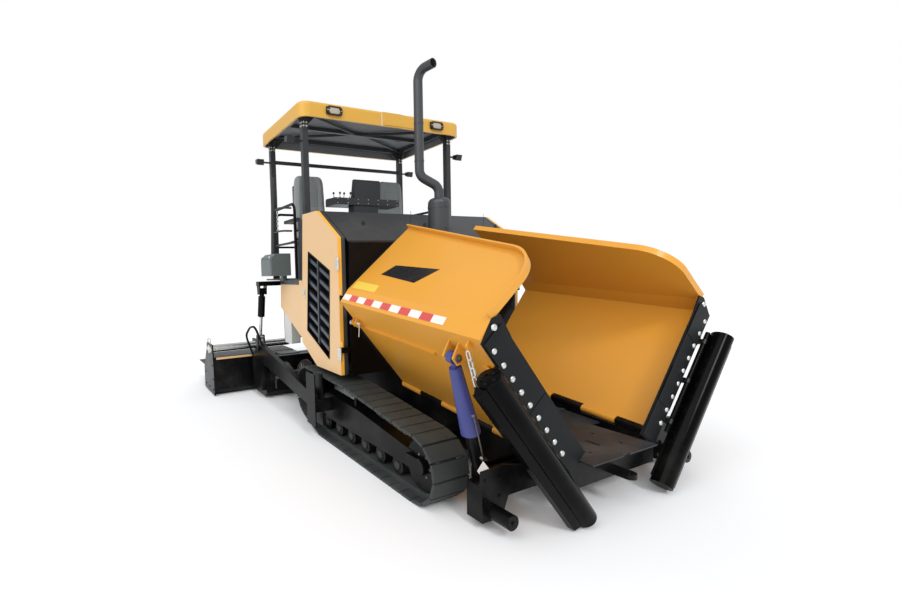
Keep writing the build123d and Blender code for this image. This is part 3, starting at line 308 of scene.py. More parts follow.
finishes = {
    # name: colour, metallic, roughness, gloss level, coat,
    # then dust, ground dirt, tone change, grain scale, grain depth
    "orangePaint": (linear(220, 154, 54), 0.0, 0.36, 0.32, 0.1, 0.06, 0.14, 0.1, 420.0, 0.05),
    "yellowPaint": (linear(212, 162, 66), 0.0, 0.34, 0.34, 0.12, 0.08, 0.1, 0.08, 420.0, 0.04),
    "creamPaint": (linear(220, 180, 130), 0.0, 0.38, 0.4, 0.2, 0.07, 0.12, 0.07, 420.0, 0.04),
    "blackPaint": (linear(8, 8, 9), 0.0, 0.32, 0.11, 0.04, 0.04, 0.1, 0.2, 380.0, 0.06),
    "glossBlack": (linear(4, 4, 4), 0.0, 0.16, 0.05, 0.03, 0.015, 0.05, 0.1, 300.0, 0.04),
    "greyPaint": (linear(50, 51, 53), 0.0, 0.42, 0.28, 0.08, 0.1, 0.08, 0.12, 380.0, 0.05),
    "deckSteel": (linear(42, 46, 50), 0.1, 0.55, 0.35, 0.0, 0.14, 0.14, 0.25, 160.0, 0.16),
    "shoeRubber": (linear(56, 60, 59), 0.0, 0.58, 0.22, 0.0, 0.1, 0.07, 0.25, 240.0, 0.18),
    "castIron": (linear(60, 60, 60), 0.5, 0.58, 0.35, 0.0, 0.14, 0.1, 0.2, 260.0, 0.2),
    "flapRubber": (linear(19, 21, 22), 0.0, 0.52, 0.16, 0.0, 0.07, 0.05, 0.15, 300.0, 0.1),
    "blueSleeve": (linear(64, 70, 132), 0.0, 0.45, 0.35, 0.05, 0.1, 0.12, 0.12, 320.0, 0.1),
    "moulded": (linear(58, 60, 62), 0.0, 0.5, 0.35, 0.0, 0.1, 0.05, 0.08, 700.0, 0.1),
    "lampShell": (linear(30, 30, 31), 0.0, 0.3, 0.35, 0.1, 0.08, 0.05, 0.06, 600.0, 0.05),
    "controlGrey": (linear(92, 99, 99), 0.0, 0.42, 0.4, 0.1, 0.1, 0.08, 0.1, 380.0, 0.05),
    "tapeLight": (linear(236, 226, 218), 0.0, 0.3, 0.5, 0.2, 0.08, 0.0, 0.06, 500.0, 0.06),
    "tapeRed": (linear(206, 70, 66), 0.0, 0.3, 0.5, 0.2, 0.08, 0.0, 0.3, 500.0, 0.06),
    "badgeBlack": (linear(26, 25, 26), 0.0, 0.28, 0.3, 0.2, 0.05, 0.0, 0.05, 500.0, 0.03),
    "labelYellow": (linear(232, 198, 76), 0.0, 0.36, 0.45, 0.1, 0.08, 0.0, 0.08, 500.0, 0.03),
    "seatCloth": (linear(142, 146, 144), 0.0, 0.66, 0.3, 0.0, 0.08, 0.0, 0.12, 900.0, 0.2),
    # grey of the roof liner: painted shade on the inside of the roof's skirt
    "shadeLinerGrey": (linear(116, 118, 119), 0.0, 0.6, 0.25, 0.0, 0.06, 0.0, 0.15, 300.0, 0.08),
    "exhaustGrey": (linear(66, 68, 70), 0.2, 0.36, 0.45, 0.0, 0.05, 0.0, 0.1, 260.0, 0.06),
    "lens": (linear(176, 164, 146), 0.0, 0.12, 0.5, 0.6, 0.04, 0.0, 0.05, 90.0, 0.1),
}
materials = {}


def newMaterial(name):
    material = bpy.data.materials.new(name)
    material.use_nodes = True
    materials[name] = material
    return material.node_tree, material.node_tree.nodes["Principled BSDF"]


def addBump(tree, shader, height, strength, distance):
    bump = tree.nodes.new("ShaderNodeBump")
    bump.inputs["Strength"].default_value, bump.inputs["Distance"].default_value = strength, distance
    tree.links.new(height, bump.inputs["Height"])
    tree.links.new(bump.outputs["Normal"], shader.inputs["Normal"])


def coatedFinish(name):
    # paint, rubber or iron: dust over colour, fine grain in the bump; a region may have a second colour
    base = regions[name][0] if name in regions else name
    colour, metallic, rough, gloss, coat, dust, ground, tone, scale, depth = finishes[base]
    tree, shader = newMaterial(name)
    shader.inputs["Metallic"].default_value = metallic
    shader.inputs["Specular IOR Level"].default_value = gloss
    shader.inputs["Coat Weight"].default_value = coat
    shader.inputs["Coat Roughness"].default_value = 0.12
    dusty = addGroup(tree, dustGroup, Color=colour, Dust=dustColour, Amount=dust, Ground=ground, Tone=tone,
                     Roughness=rough)
    for second, low, high in regions[name][1] if name in regions else []:
        region = addGroup(tree, regionGroup, Low=tuple(low + slide), High=tuple(high + slide))
        colour = mixColours(tree, region.outputs["Mask"], colour, second)
        tree.links.new(colour, dusty.inputs["Color"])
    grain = addGroup(tree, grainGroup, Scale=scale, Depth=depth)
    tree.links.new(dusty.outputs["Color"], shader.inputs["Base Color"])
    tree.links.new(dusty.outputs["Roughness"], shader.inputs["Roughness"])
    addBump(tree, shader, grain.outputs["Height"], 0.25, 0.004)


for finish in [*finishes, *regions]:
    coatedFinish(finish)


metals = {
    # name: bright colour, scratched colour, roughness, scratch direction, scratch scale
    "brightSteel": (linear(212, 212, 208), linear(186, 186, 183), 0.24, (1.0, 0.03, 1.0), 260.0),
    "wornSteel": (linear(128, 122, 116), linear(70, 64, 60), 0.44, (1.0, 0.15, 1.0), 90.0),
    "zinc": (linear(224, 224, 218), linear(180, 180, 174), 0.34, (1.0, 1.0, 1.0), 120.0),
}


def metalFinish(name):
    bright, scratched, rough, along, scale = metals[name]
    tree, shader = newMaterial(name)
    shader.inputs["Metallic"].default_value = 0.9
    marks = addGroup(tree, brushGroup, Along=along, Scale=scale)
    dusty = addGroup(tree, dustGroup, Dust=dustColour, Amount=0.1, Ground=0.12, Tone=0.1, Roughness=rough)
    tree.links.new(mixColours(tree, marks.outputs["Mask"], bright, scratched), dusty.inputs["Color"])
    tree.links.new(dusty.outputs["Color"], shader.inputs["Base Color"])
    tree.links.new(dusty.outputs["Roughness"], shader.inputs["Roughness"])
    addBump(tree, shader, marks.outputs["Mask"], 0.05, 0.0004)


for metal in metals:
    metalFinish(metal)

nodeGroups = {
    # finish: the model's own nodes that wear it
    "blackPaint": "main_frame bulkhead handrails screed_main screed_extension tow_arms hopper_barrel "
                  "track_frame lift_barrel",
    "deckSteel": "front_plate conveyor",
    "greyPaint": "hood canopy_frame",
    "castIron": "engine_block",
    "creamPaint": "side_panels",
    "deckPaint": "platform",
    "moulded": "seat_bases seat_cushions",
    "consolePaint": "consoles",
    "yellowPaint": "canopy_roof",
    "lampShell": "work_lamps",
    "exhaustGrey": "exhaust",
    "wingPaint": "wing",
    "flapRubber": "wing_flap",
    "glossBlack": "apron",
    "zinc": "apron_chain",
    "blueSleeve": "hopper_rod",
    "shoeRubber": "track",
    "doorPaint": "door",
    "wornSteel": "auger",
    "brightSteel": "guide_tubes lift_rod",
}
nodeFinish = {node: finish for finish, names in nodeGroups.items() for node in names.split()}


def dressNodes():
    for name, node in nodes.items():
        finish = nodeFinish[name.removesuffix("_left").removesuffix("_right")]
        node.data.materials.clear()
        node.data.materials.append(materials[finish])


dressNodes()
print("materials made:", len(materials))


# shapes, each a pair of points and faces
def unit(vector):
    vector = np.asarray(vector, float)
    return vector / np.linalg.norm(vector)


def quads(rows, columns, closed=True):
    # faces between neighbouring rows of a grid of points
    steps = columns if closed else columns - 1
    row, column = np.meshgrid(np.arange(rows - 1), np.arange(steps), indexing="ij")
    here, beside = row * columns + column, row * columns + (column + 1) % columns
    return np.stack([here, beside, beside + columns, here + columns], -1).reshape(-1, 4).tolist()


def tube(rows, columns):
    # faces of a tube of rings, closed by one face at each end
    first, last = list(range(columns)), list(range((rows - 1) * columns, rows * columns))
    return quads(rows, columns) + [first[::-1], last]


def prism(outline, origin, across, up, depth):
    # flat outline in the across-up plane, carried by depth along their cross product
    outline = np.asarray(outline, float)
    across, up = unit(across), unit(up)
    normal = np.cross(across, up)
    nextPoint = np.roll(outline, -1, 0)
    if np.sum(outline[:, 0] * nextPoint[:, 1] - nextPoint[:, 0] * outline[:, 1]) < 0:
        outline = outline[::-1]
    base = np.asarray(origin, float) + outline[:, :1] * across + outline[:, 1:] * up
    if depth < 0:
        base, depth = base + normal * depth, -depth
    return np.vstack([base, base + normal * depth]), tube(2, len(outline))


def block(low, high):
    low, high = np.minimum(low, high), np.maximum(low, high)
    size = high - low
    return prism([(0, 0), (size[0], 0), (size[0], size[1]), (0, size[1])], low, ahead, leftward, size[2])


def rounded(width, height, radius, steps=5):
    # rectangle about its middle with quarter-circle corners
    turn = np.linspace(0, np.pi / 2, steps)
    arc = radius * np.stack([np.cos(turn), np.sin(turn)], 1)
    corners = [(1, 1, 0), (-1, 1, 1), (-1, -1, 2), (1, -1, 3)]
    points = []
    for signX, signY, quarter in corners:
        angle = quarter * np.pi / 2
        spin = np.array([[np.cos(angle), np.sin(angle)], [-np.sin(angle), np.cos(angle)]])
        points.append(arc @ spin + (signX * (width / 2 - radius), signY * (height / 2 - radius)))
    return np.vstack(points)


def acrossLine(along):
    # a line's own direction and two more, square to it and to each other
    along = unit(along)
    side = unit(np.cross(along, upward if abs(along[2]) < 0.9 else ahead))
    return along, side, np.cross(along, side)


def turned(profile, start, along, sides=24):
    # profile of (distance, radius) spun about a line
    profile = np.asarray(profile, float)
    along, side, other = acrossLine(along)
    angle = np.arange(sides) * 2 * np.pi / sides
    circle = np.cos(angle)[:, None] * side + np.sin(angle)[:, None] * other
    rings = np.asarray(start, float) + profile[:, 0, None, None] * along + profile[:, 1, None, None] * circle
    return rings.reshape(-1, 3), tube(len(profile), sides)


def swept(profile, path, upright=upward):
    # closed profile of (side, up) carried along a path of points, ends closed
    path, profile = np.asarray(path, float), np.asarray(profile, float)
    run = np.gradient(path, axis=0)
    run /= np.linalg.norm(run, axis=1)[:, None]
    side = np.cross(run, upright)
    side /= np.linalg.norm(side, axis=1)[:, None]
    up = np.cross(side, run)
    rings = path[:, None] + profile[None, :, :1] * side[:, None] + profile[None, :, 1:] * up[:, None]
    faces = tube(len(path), len(profile))
    if np.sum(profile[:, 0] * np.roll(profile[:, 1], -1) - np.roll(profile[:, 0], -1) * profile[:, 1]) > 0:
        faces = [face[::-1] for face in faces]
    return rings.reshape(-1, 3), faces


def ringProfile(radius, sides=12):
    angle = np.arange(sides) * 2 * np.pi / sides
    return radius * np.stack([np.cos(angle), np.sin(angle)], 1)


def bent(points, radius, steps=6):
    # corners of a path rounded by short arcs of quadratic curves
    points = [np.asarray(point, float) for point in points]
    path = [points[0]]
    for before, corner, after in zip(points, points[1:], points[2:]):
        start, end = corner + unit(before - corner) * radius, corner + unit(after - corner) * radius
        share = np.linspace(0, 1, steps)[:, None]
        path.extend((1 - share) ** 2 * start + 2 * share * (1 - share) * corner + share ** 2 * end)
    return np.array(path + [points[-1]])


def moved(shape, places):
    # the shape copied to each place
    points, faces = shape
    places = np.asarray(places, float).reshape(-1, 3)
    count = len(points)
    many = (points[None] + places[:, None]).reshape(-1, 3)
    return many, [[index + copy * count for index in face] for copy in range(len(places)) for face in faces]


def joined(shapes):
    points, faces, count = [], [], 0
    for more, moreFaces in shapes:
        points.append(more)
        faces.extend([[index + count for index in face] for face in moreFaces])
        count += len(more)
    return np.vstack(points), faces


def mirrored(shape):
    points, faces = shape
    return points * (1, -1, 1), [face[::-1] for face in faces]


def newObject(name, points, faces, finish=None):
    mesh = bpy.data.meshes.new(name)
    mesh.from_pydata(np.asarray(points, float).tolist(), [], faces)
    if finish:
        mesh.materials.append(materials[finish])
        mesh.polygons.foreach_set("use_smooth", [True] * len(mesh.polygons))
    made = bpy.data.objects.new(name, mesh)
    bpy.context.scene.collection.objects.link(made)
    return made


def addPiece(name, shapes, finish, body="tractor", bevel=0.0, smooth=40.0):
    points, faces = joined(shapes) if isinstance(shapes, list) else shapes
    piece = newObject(name, points + slide, faces, finish)
    piece.data.set_sharp_from_angle(angle=np.radians(smooth))
    piece.data.update()
    if bevel:
        edge = piece.modifiers.new("edge", "BEVEL")
        edge.width, edge.segments, edge.limit_method = bevel, 2, "ANGLE"
        edge.angle_limit = np.radians(30)
    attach(piece, body)


def addPair(name, shapes, finish, body="tractor", **options):
    # a left piece and its mirror image; a body with two sides is named without its side
    shapes = shapes if isinstance(shapes, list) else [shapes]
    for side in ("left", "right"):
        owner = body if body in ("tractor", "screed") else f"{body}_{side}"
        turnedOver = shapes if side == "left" else [mirrored(shape) for shape in shapes]
        addPiece(f"{name}_{side}", turnedOver, finish, owner, **options)


def hexBolt(place, along, size, washer=True):
    # washer, six-sided head with a chamfered crown
    head = turned(size * np.array([(0.16, 0.9), (0.62, 0.9), (0.74, 0.78)]), place, along, 6)
    if not washer:
        return head
    ring = turned(size * np.array([(0, 1.15), (0.14, 1.15), (0.18, 1.08)]), place, along, 18)
    return joined([ring, head])


def domeBolt(place, along, size):
    # low domed cap: radius follows a quarter of an ellipse
    turn = np.linspace(0, np.pi / 2, 6)[:-1]
    profile = [(0, size)] + [(0.12 * size + 0.42 * size * np.sin(t), size * np.cos(t) * 0.96) for t in turn]
    return turned(profile, place, along, 20)


def boltRing(middle, along, radius, count, size, phase=0.0):
    along, side, other = acrossLine(along)
    return [hexBolt(np.asarray(middle) + radius * (np.cos(a) * side + np.sin(a) * other), along, size)
            for a in phase + np.arange(count) * 2 * np.pi / count]


# hopper wings: tape, plain plates, bolts, rubber sheets, latch pins
wing = {
    "front": 2.75, "length": 1.775, "hingeY": 0.53, "hingeZ": 0.4, "rise": 0.1, "angle": 50.9,
    "height": 0.9, "taper": 0.025, "bandAngle": 52.0, "bandWidth": 0.15, "upperAngle": 39.3,
    "topFrontY": 0.717, "topRearY": 0.43,
    "tapeFrom": 0.985, "tapeTo": 2.4, "tapeLow": 0.032, "tapeHigh": 0.092,
    "boltFirst": 0.094, "boltStep": 0.119, "boltCount": 9, "boltInset": -0.027,
    "sheetFirst": -0.085, "sheetStep": 0.305, "sheetCount": 4, "sheetOuter": 0.008, "sheetInner": -0.178,
    "badge": ((1.27, 0.27), (1.8, 0.25), (1.95, 0.5), (1.36, 0.43)),
    "latchAt": (1.065, 0.9, 0.035), "eyeAt": (2.4616, 0.985, 0.07),
    "label": ((1.02, 0.02), (1.42, 0.02), (1.4, 0.12), (1.01, 0.12)),
}
slopeY, slopeZ = np.cos(np.radians(wing["angle"])), np.sin(np.radians(wing["angle"]))
outY, outZ = slopeZ, -slopeY


def onPanel(x, along, out=0.0):
    # point up the lower panel from the hinge, and out from its outer face
    return np.array([x, wing["hingeY"] + along * slopeY + out * outY,
                     wing["hingeZ"] + wing["rise"] * (wing["front"] - x) + along * slopeZ + out * outZ])


def onBand(x, up, out=0.0):
    # point above the crease, on the taped band
    back = (wing["front"] - x) / wing["length"]
    crease = onPanel(x, wing["height"] / slopeZ - wing["taper"] * back / slopeY)
    turn = np.radians(wing["bandAngle"])
    rise, face = np.array([0, -np.cos(turn), np.sin(turn)]), np.array([0, np.sin(turn), np.cos(turn)])
    return crease + up * rise + out * face


def onUpper(x, share, out=0.0):
    # point between the band's upper bend, 0, and the wing's top edge, 1
    back = (wing["front"] - x) / wing["length"]
    bend = onBand(x, wing["bandWidth"])
    topY = wing["topFrontY"] + (wing["topRearY"] - wing["topFrontY"]) * back
    turn = np.radians(wing["upperAngle"])
    top = np.array([x, topY, bend[2] + (bend[1] - topY) * np.tan(turn)])
    return bend + share * (top - bend) + out * np.array([0, np.sin(turn), np.cos(turn)])


def thinSheet(corners, thickness=0.0012):
    # four corners in order, given a little thickness on their outer side
    corners = np.asarray(corners, float)
    normal = unit(np.cross(corners[1] - corners[0], corners[3] - corners[0]))
    if normal[2] < 0:
        corners, normal = corners[::-1], -normal
    return np.vstack([corners, corners + normal * thickness]), tube(2, 4)


def dressWing():
    # reflective tape in blocks, light and red by turns
    ends = np.linspace(wing["tapeFrom"], wing["tapeTo"], 12)
    light, red = [], []
    low, high = wing["tapeLow"], wing["tapeHigh"]
    for index, (start, end) in enumerate(zip(ends, ends[1:])):
        corners = ((start, low), (end, low), (end, high), (start, high))
        (red if index % 2 else light).append(thinSheet([onBand(x, up, 0.0006) for x, up in corners]))
    addPair("tapeLight", light, "tapeLight", "wing")
    addPair("tapeRed", red, "tapeRed", "wing")
    # plain plates where a badge and a label would be
    badge = [onUpper(x, share, 0.0008) for x, share in wing["badge"]]
    addPair("badgePlate", thinSheet(badge, 0.002), "badgeBlack", "wing")
    label = [onUpper(x, share, 0.0008) for x, share in wing["label"]]
    addPair("labelPlate", thinSheet(label), "labelYellow", "wing")
    # overlapping rubber sheets on the front lip, and the bolts through them
    sheets = []
    front, length = wing["front"], wing["height"] / slopeZ
    outer, inner = wing["sheetOuter"], wing["sheetInner"]
    for index in range(wing["sheetCount"]):
        low = wing["sheetFirst"] + index * wing["sheetStep"]
        high = min(wing["sheetFirst"] + (index + 1) * wing["sheetStep"], length - 0.03)
        lift = 0.013 + 0.0035 * (index % 2)
        corners = ((low, outer), (high, outer), (high, inner), (low, inner))
        outline = [onPanel(front, along, out)[1:] for along, out in corners]
        sheets.append(prism(outline, (front + lift, 0, 0), leftward, upward, 0.005))
    addPair("lipSheets", sheets, "flapRubber", "wing", bevel=0.0015)
    heights = [wing["boltFirst"] + index * wing["boltStep"] for index in range(wing["boltCount"])]
    bolts = [domeBolt(onPanel(front + 0.018, height, wing["boltInset"]), ahead, 0.021) for height in heights]
    bolts.append(domeBolt(onBand(front + 0.014, 0.115, -0.035), ahead, 0.023))
    addPair("lipBolts", bolts, "zinc", "wing")
    # pin through the rear latch lugs, with its split pin hanging
    eye = onPanel(*wing["latchAt"])
    latch = [turned([(-0.075, 0.011), (-0.073, 0.013), (0.07, 0.013), (0.076, 0.009)], eye, ahead, 16),
             turned([(-0.082, 0.022), (-0.076, 0.024), (-0.072, 0.022)], eye, ahead, 16),
             swept(ringProfile(0.0045, 8), bent([eye + (0.06, 0, 0), eye + (0.064, 0.004, -0.055),
                                                 eye + (0.052, 0.002, -0.125)], 0.01), leftward)]
    addPair("latchPin", latch, "zinc", "wing")
    # collars and grease nipple on the cylinder's upper pin
    pin = onPanel(*wing["eyeAt"])
    heads = [turned([(0.045, 0.028), (0.051, 0.028), (0.054, 0.024)], pin, (way, 0, 0), 20) for way in (1, -1)]
    heads.append(hexBolt(pin + (0.054, 0, 0), ahead, 0.013, False))
    addPair("eyePin", heads, "wornSteel", "wing")


dressWing()
print("hopper wings dressed")

# side doors: window lip, latches and hinges; plain plate behind the doors
door = {
    "latchAt": (0.055, 1.5), "hingesAt": (0.931, 1.8), "hingeX": 0.899, "faceY": 1.2,
    "window": [(0.2, 1.95), (0.7, 1.74), (0.64, 0.85), (0.11, 1.09)],
}


def dressDoor():
    # folded lip round the window
    window, face = np.array(door["window"]), door["faceY"]
    runs = [[(a[0], face - 0.0005, a[1]), (b[0], face - 0.0005, b[1])]
            for a, b in zip(window, np.roll(window, -1, 0))]
    lip = [swept(rounded(0.01, 0.014, 0.003, 3), run, leftward) for run in runs]
    addPair("doorLip", lip, "blackPaint", "door")
    # paddle latch: dished plate, handle and lock barrel
    x, z = door["latchAt"]
    latch = [prism(rounded(0.05, 0.11, 0.012), (x, face + 0.0003, z), ahead, upward, -0.004),
             prism(rounded(0.026, 0.062, 0.008), (x, face + 0.0043, z + 0.012), ahead, upward, -0.012),
             turned([(0, 0.011), (0.012, 0.011), (0.015, 0.008)], (x, face + 0.004, z - 0.038), leftward, 16)]
    addPair("doorLatch", latch, "zinc", "door", bevel=0.0015)
    # strap hinges on the front edge, each with four bolts
    hinges, bolts = [], []
    for height in door["hingesAt"]:
        hinges.append(prism(rounded(0.052, 0.12, 0.006), (0.862, face + 0.0025, height), ahead, upward, -0.005))
        hinges.append(turned([(-0.06, 0.0095), (-0.058, 0.011), (0.058, 0.011), (0.06, 0.0095)],
                             (door["hingeX"], face + 0.0075, height), upward, 16))
        bolts += [hexBolt((0.855 + dx, face + 0.0075, height + dz), leftward, 0.008)
                  for dx in (0, 0.018) for dz in (-0.04, 0.04)]
    addPair("doorHinges", hinges, "zinc", "door", bevel=0.0012)
    addPair("doorHingeBolts", bolts, "zinc", "door")
    # plain plate where a name would be
    plate = prism(rounded(0.62, 0.055, 0.006), (-0.48, 1.1705, 1.618), ahead, upward, -0.003)
    addPair("sidePlate", plate, "badgeBlack")


dressDoor()
print("doors dressed")


# roof: lamps with pale lenses, a dark liner as painted shade inside the skirt, seam and step, bolts at the
# posts' heads
roof = {
    "front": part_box("canopy_roof")[1][0] - slide[0], "top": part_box("canopy_roof")[1][2],
    "lampY": 0.74, "lampZ": 0.09, "postX": (-0.15, -1.25), "postY": 1.05,
}


def hexagon(width, height, cut):
    # rectangle with its corners cut back along the width
    w, h = width / 2, height / 2
    return np.array([(-w, 0), (-w + cut, -h), (w - cut, -h), (w, 0), (w - cut, h), (-w + cut, h)])


def dressRoof():
    lenses, rims, bolts = [], [], []
    for sign in (-1, 1):
        at = np.array([roof["front"] + 0.022, sign * roof["lampY"], roof["top"] - roof["lampZ"]])
        outline = hexagon(0.212, 0.098, 0.03)
        inner = hexagon(0.15, 0.068, 0.022)
        points = [np.stack([np.full(6, at[0] + out), at[1] + ring[:, 0], at[2] + ring[:, 1]], 1)
                  for out, ring in ((-0.018, outline), (0.01, outline), (0.012, inner * 1.08), (0.001, inner),
                                    (-0.018, inner))]
        back = [[24 + k, 24 + (k + 1) % 6, (k + 1) % 6, k] for k in range(6)]
        rims.append((np.vstack(points), quads(5, 6) + back))
        lens = [np.stack([np.full(6, at[0] + 0.002 + 0.007 * (1 - share ** 2)), at[1] + inner[:, 0] * share,
                          at[2] + inner[:, 1] * share], 1) for share in np.linspace(0.98, 0.1, 6)]
        lenses.append((np.vstack(lens), tube(6, 6)))
        bolts += [domeBolt(at + (0.011, dy, 0), ahead, 0.006) for dy in (-0.088, 0.088)]
    addPiece("roofLampRims", rims, "lampShell", bevel=0.0015)
    addPiece("roofLampLenses", lenses, "lens", smooth=80)
    addPiece("roofLampBolts", bolts, "zinc")
    # dark grey liner inside the roof, a sheet that paints the shade on the roof's inner skirt: rings of a
    # rounded rectangle, closed above and below
    low, high = (np.array(corner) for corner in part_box("canopy_roof"))
    middle, size = (low + high) / 2 - slide, high - low
    rings = []
    top, bottom = high[2] - 0.0475, low[2] + 0.004
    for gap, z in ((0.0275, top), (0.0275, bottom), (0.0255, bottom), (0.0255, top + 0.002)):
        ring = rounded(size[0] - 2 * gap, size[1] - 2 * gap, 0.131 - gap, 8) + middle[:2]
        rings.append(np.column_stack([ring, np.full(len(ring), z)]))
    count = len(rings[0])
    closing = [list(range(count)), list(range(4 * count - 1, 3 * count - 1, -1))]
    addPiece("roofShadeLiner", (np.vstack(rings), quads(4, count) + closing), "shadeLinerGrey")
    # seam between the roof's two shells, with a raised step beyond it
    front = roof["front"]
    seam = [block((front - 0.002, -0.09, roof["top"] - 0.175), (front + 0.0015, -0.082, roof["top"] - 0.03)),
            block((-1.34, -0.09, roof["top"] - 0.004), (front - 0.04, -0.082, roof["top"] + 0.0015))]
    addPiece("roofSeam", seam, "tapeLight")
    step = [(-0.075, 0.002), (0.19, 0.002), (0.29, -0.018), (0.425, -0.018), (0.425, -0.172), (0.395, -0.172),
            (0.385, -0.15), (-0.075, -0.15)]
    addPiece("roofStep", prism(step, (front + 0.0005, 0, roof["top"] - 0.012), leftward, upward, 0.006),
             "yellowPaint", bevel=0.003)
    # bolts through the posts' heads and their gussets
    heads = []
    for x in roof["postX"]:
        for sign in (-1, 1):
            heads += [hexBolt((x + dx, sign * (roof["postY"] + 0.035), roof["top"] - dz), (0, sign, 0), 0.01)
                      for dx in (-0.018, 0.018) for dz in (0.205, 0.245)]
            heads += [hexBolt((x + 0.035, sign * roof["postY"] + dy, roof["top"] - dz), ahead, 0.01)
                      for dy in (-0.018, 0.018) for dz in (0.205, 0.245)]
    addPiece("postBolts", heads, "zinc")


dressRoof()


# exhaust: clamps round the silencer and the stack
exhaust = {
    "x": 0.75, "y": 0.145, "radius": 0.12, "bands": (2.17, 2.4),
    "stackX": 0.68, "stackY": -0.06, "pipe": 0.05, "stackBands": (2.9, 3.3),
}


def bandProfile(radius, half, lift):
    # clamp: a flat strip with its two edges sloped
    return [(-half, radius + lift), (0.001 - half, radius + 0.003), (half - 0.001, radius + 0.003),
            (half, radius + lift)]


def dressExhaust():
    x, y, radius = exhaust["x"], exhaust["y"], exhaust["radius"]
    bands = [turned(bandProfile(radius, 0.016, 0.0005), (x, y, z), upward, 48) for z in exhaust["bands"]]
    bands += [hexBolt((x + radius + 0.003, y - 0.01, z), ahead, 0.01) for z in exhaust["bands"]]
    bands += [turned(bandProfile(exhaust["pipe"], 0.01, 0.0004), (exhaust["stackX"], exhaust["stackY"], z),
                     upward, 36) for z in exhaust["stackBands"]]
    addPiece("exhaustBands", bands, "exhaustGrey")


dressExhaust()


# hood: panel seams and lift latches
hood = {
    "face": 0.9252, "half": 1.08, "seamZ": 1.999, "seamsY": (-0.37, 0.62), "seamEnds": (1.7, 2.32),
    "latchZ": 2.186, "latchesY": (-0.936, -0.2, 0.8),
}


def dressHood():
    face, z = hood["face"], hood["seamZ"]
    low, high = hood["seamEnds"]
    seams = [block((face, -hood["half"], z), (face + 0.001, hood["half"], z + 0.004))]
    seams += [block((face, y - 0.002, low), (face + 0.001, y + 0.002, high)) for y in hood["seamsY"]]
    addPiece("hoodSeams", seams, "badgeBlack")
    latches = []
    for y in hood["latchesY"]:
        z = hood["latchZ"]
        latches.append(turned([(0, 0.024), (0.003, 0.024), (0.006, 0.02)], (face + 0.0003, y, z), ahead, 28))
        latches.append(prism(rounded(0.03, 0.008, 0.0035), (face + 0.0058, y, z), leftward, upward, 0.004))
    addPiece("hoodLatches", latches, "lampShell", bevel=0.0008)


dressHood()


# tracks: hub caps, roller caps and bolt rings
trackValues = {
    "idler": (2.05, 1.145, 0.26), "sprocket": (0.13, 1.21, 0.397),
    "roller": (1.146, 0.139), "rollerFirst": 0.45, "rollerLast": 1.72, "rollerCount": 6,
}


def dressTrack():
    v = trackValues
    sprocket, idler = v["sprocket"], v["idler"]
    caps = [turned([(0, 0.088), (0.01, 0.086), (0.016, 0.06), (0.03, 0.056), (0.036, 0.046)], sprocket,
                   leftward, 40),
            turned([(0, 0.06), (0.01, 0.058), (0.018, 0.04), (0.022, 0.03)], idler, leftward, 32)]
    caps += [turned([(0, 0.036), (0.008, 0.034), (0.013, 0.024)], (x, *v["roller"]), leftward)
             for x in np.linspace(v["rollerFirst"], v["rollerLast"], v["rollerCount"])]
    addPair("trackCaps", caps, "castIron")
    bolts = boltRing(sprocket, leftward, 0.125, 12, 0.013) + boltRing(idler, leftward, 0.084, 6, 0.01)
    addPair("trackBolts", bolts, "wornSteel")


dressTrack()
print("roof, exhaust, hood and tracks dressed")


# seats: padded pans and high backs, swelled by cloth pressure
seat = {
    "y": 0.65, "panLow": (-0.99, 2.16), "panHigh": (-0.5, 2.29), "panWidth": 0.524,
    "backX": (-1.022, -0.9), "backLow": 2.285, "backHigh": 3.045, "backWidth": 0.516,
    "voxel": 0.0095, "pressure": 4.0, "swellCap": 0.009, "seamDepth": 0.007, "seamWidth": 0.007,
}


def squareRound(angle, power):
    # superellipse: cosine and sine raised to 2 / power with their signs kept
    c, s = np.cos(angle), np.sin(angle)
    return np.sign(c) * np.abs(c) ** (2 / power), np.sign(s) * np.abs(s) ** (2 / power)


def padShape(length, width, thick, bolster, taper=0.0, rows=40, columns=56):
    # stacked superellipse sections, closing at both ends; the front face has two side bolsters
    angle = np.arange(columns) * 2 * np.pi / columns
    end = np.linspace(-np.pi / 2, np.pi / 2, rows)
    along, size = squareRound(end, 7.0)[1], squareRound(end, 7.0)[0]
    size = np.maximum(size, 0.02)
    across, out = squareRound(angle, 4.5)
    narrow = 1 - taper * (along + 1) / 2
    u = (width / 2) * across[None] * (size * narrow)[:, None]
    side = np.abs(across)[None]
    bolsters = bolster * np.exp(-((side - 0.78) / 0.16) ** 2) * (out[None] > 0) * size[:, None]
    w = (thick / 2) * out[None] * (0.25 + 0.75 * size)[:, None] + bolsters
    v = (length / 2) * along[:, None] * np.ones_like(u)
    return np.stack([u, v, w], -1).reshape(-1, 3), tube(rows, columns)


def placedPad(shape, origin, across, along, out):
    points, faces = shape
    frameAxes = np.array([across, along, out], float)
    if np.linalg.det(frameAxes) < 0:
        faces = [face[::-1] for face in faces]
    return np.asarray(origin) + points @ frameAxes, faces


def sewn(points, origin, across, along, out, lines):
    # channels: the front face sinks along each line by a bell curve
    local = (points - origin) @ np.array([across, along, out], float).T
    front = np.clip(local[:, 2] / 0.02, 0, 1)
    sink = np.zeros(len(points))
    for axis, value, low, high in lines:
        other = 1 - axis
        within = (local[:, other] > low) & (local[:, other] < high)
        sink = np.maximum(sink, np.exp(-((local[:, axis] - value) / seat["seamWidth"]) ** 2) * within)
    return points - (seat["seamDepth"] * sink * front)[:, None] * np.asarray(out, float)


def readPoints(mesh):
    flat = np.empty(len(mesh.vertices) * 3)
    mesh.vertices.foreach_get("co", flat)
    return flat.reshape(-1, 3)


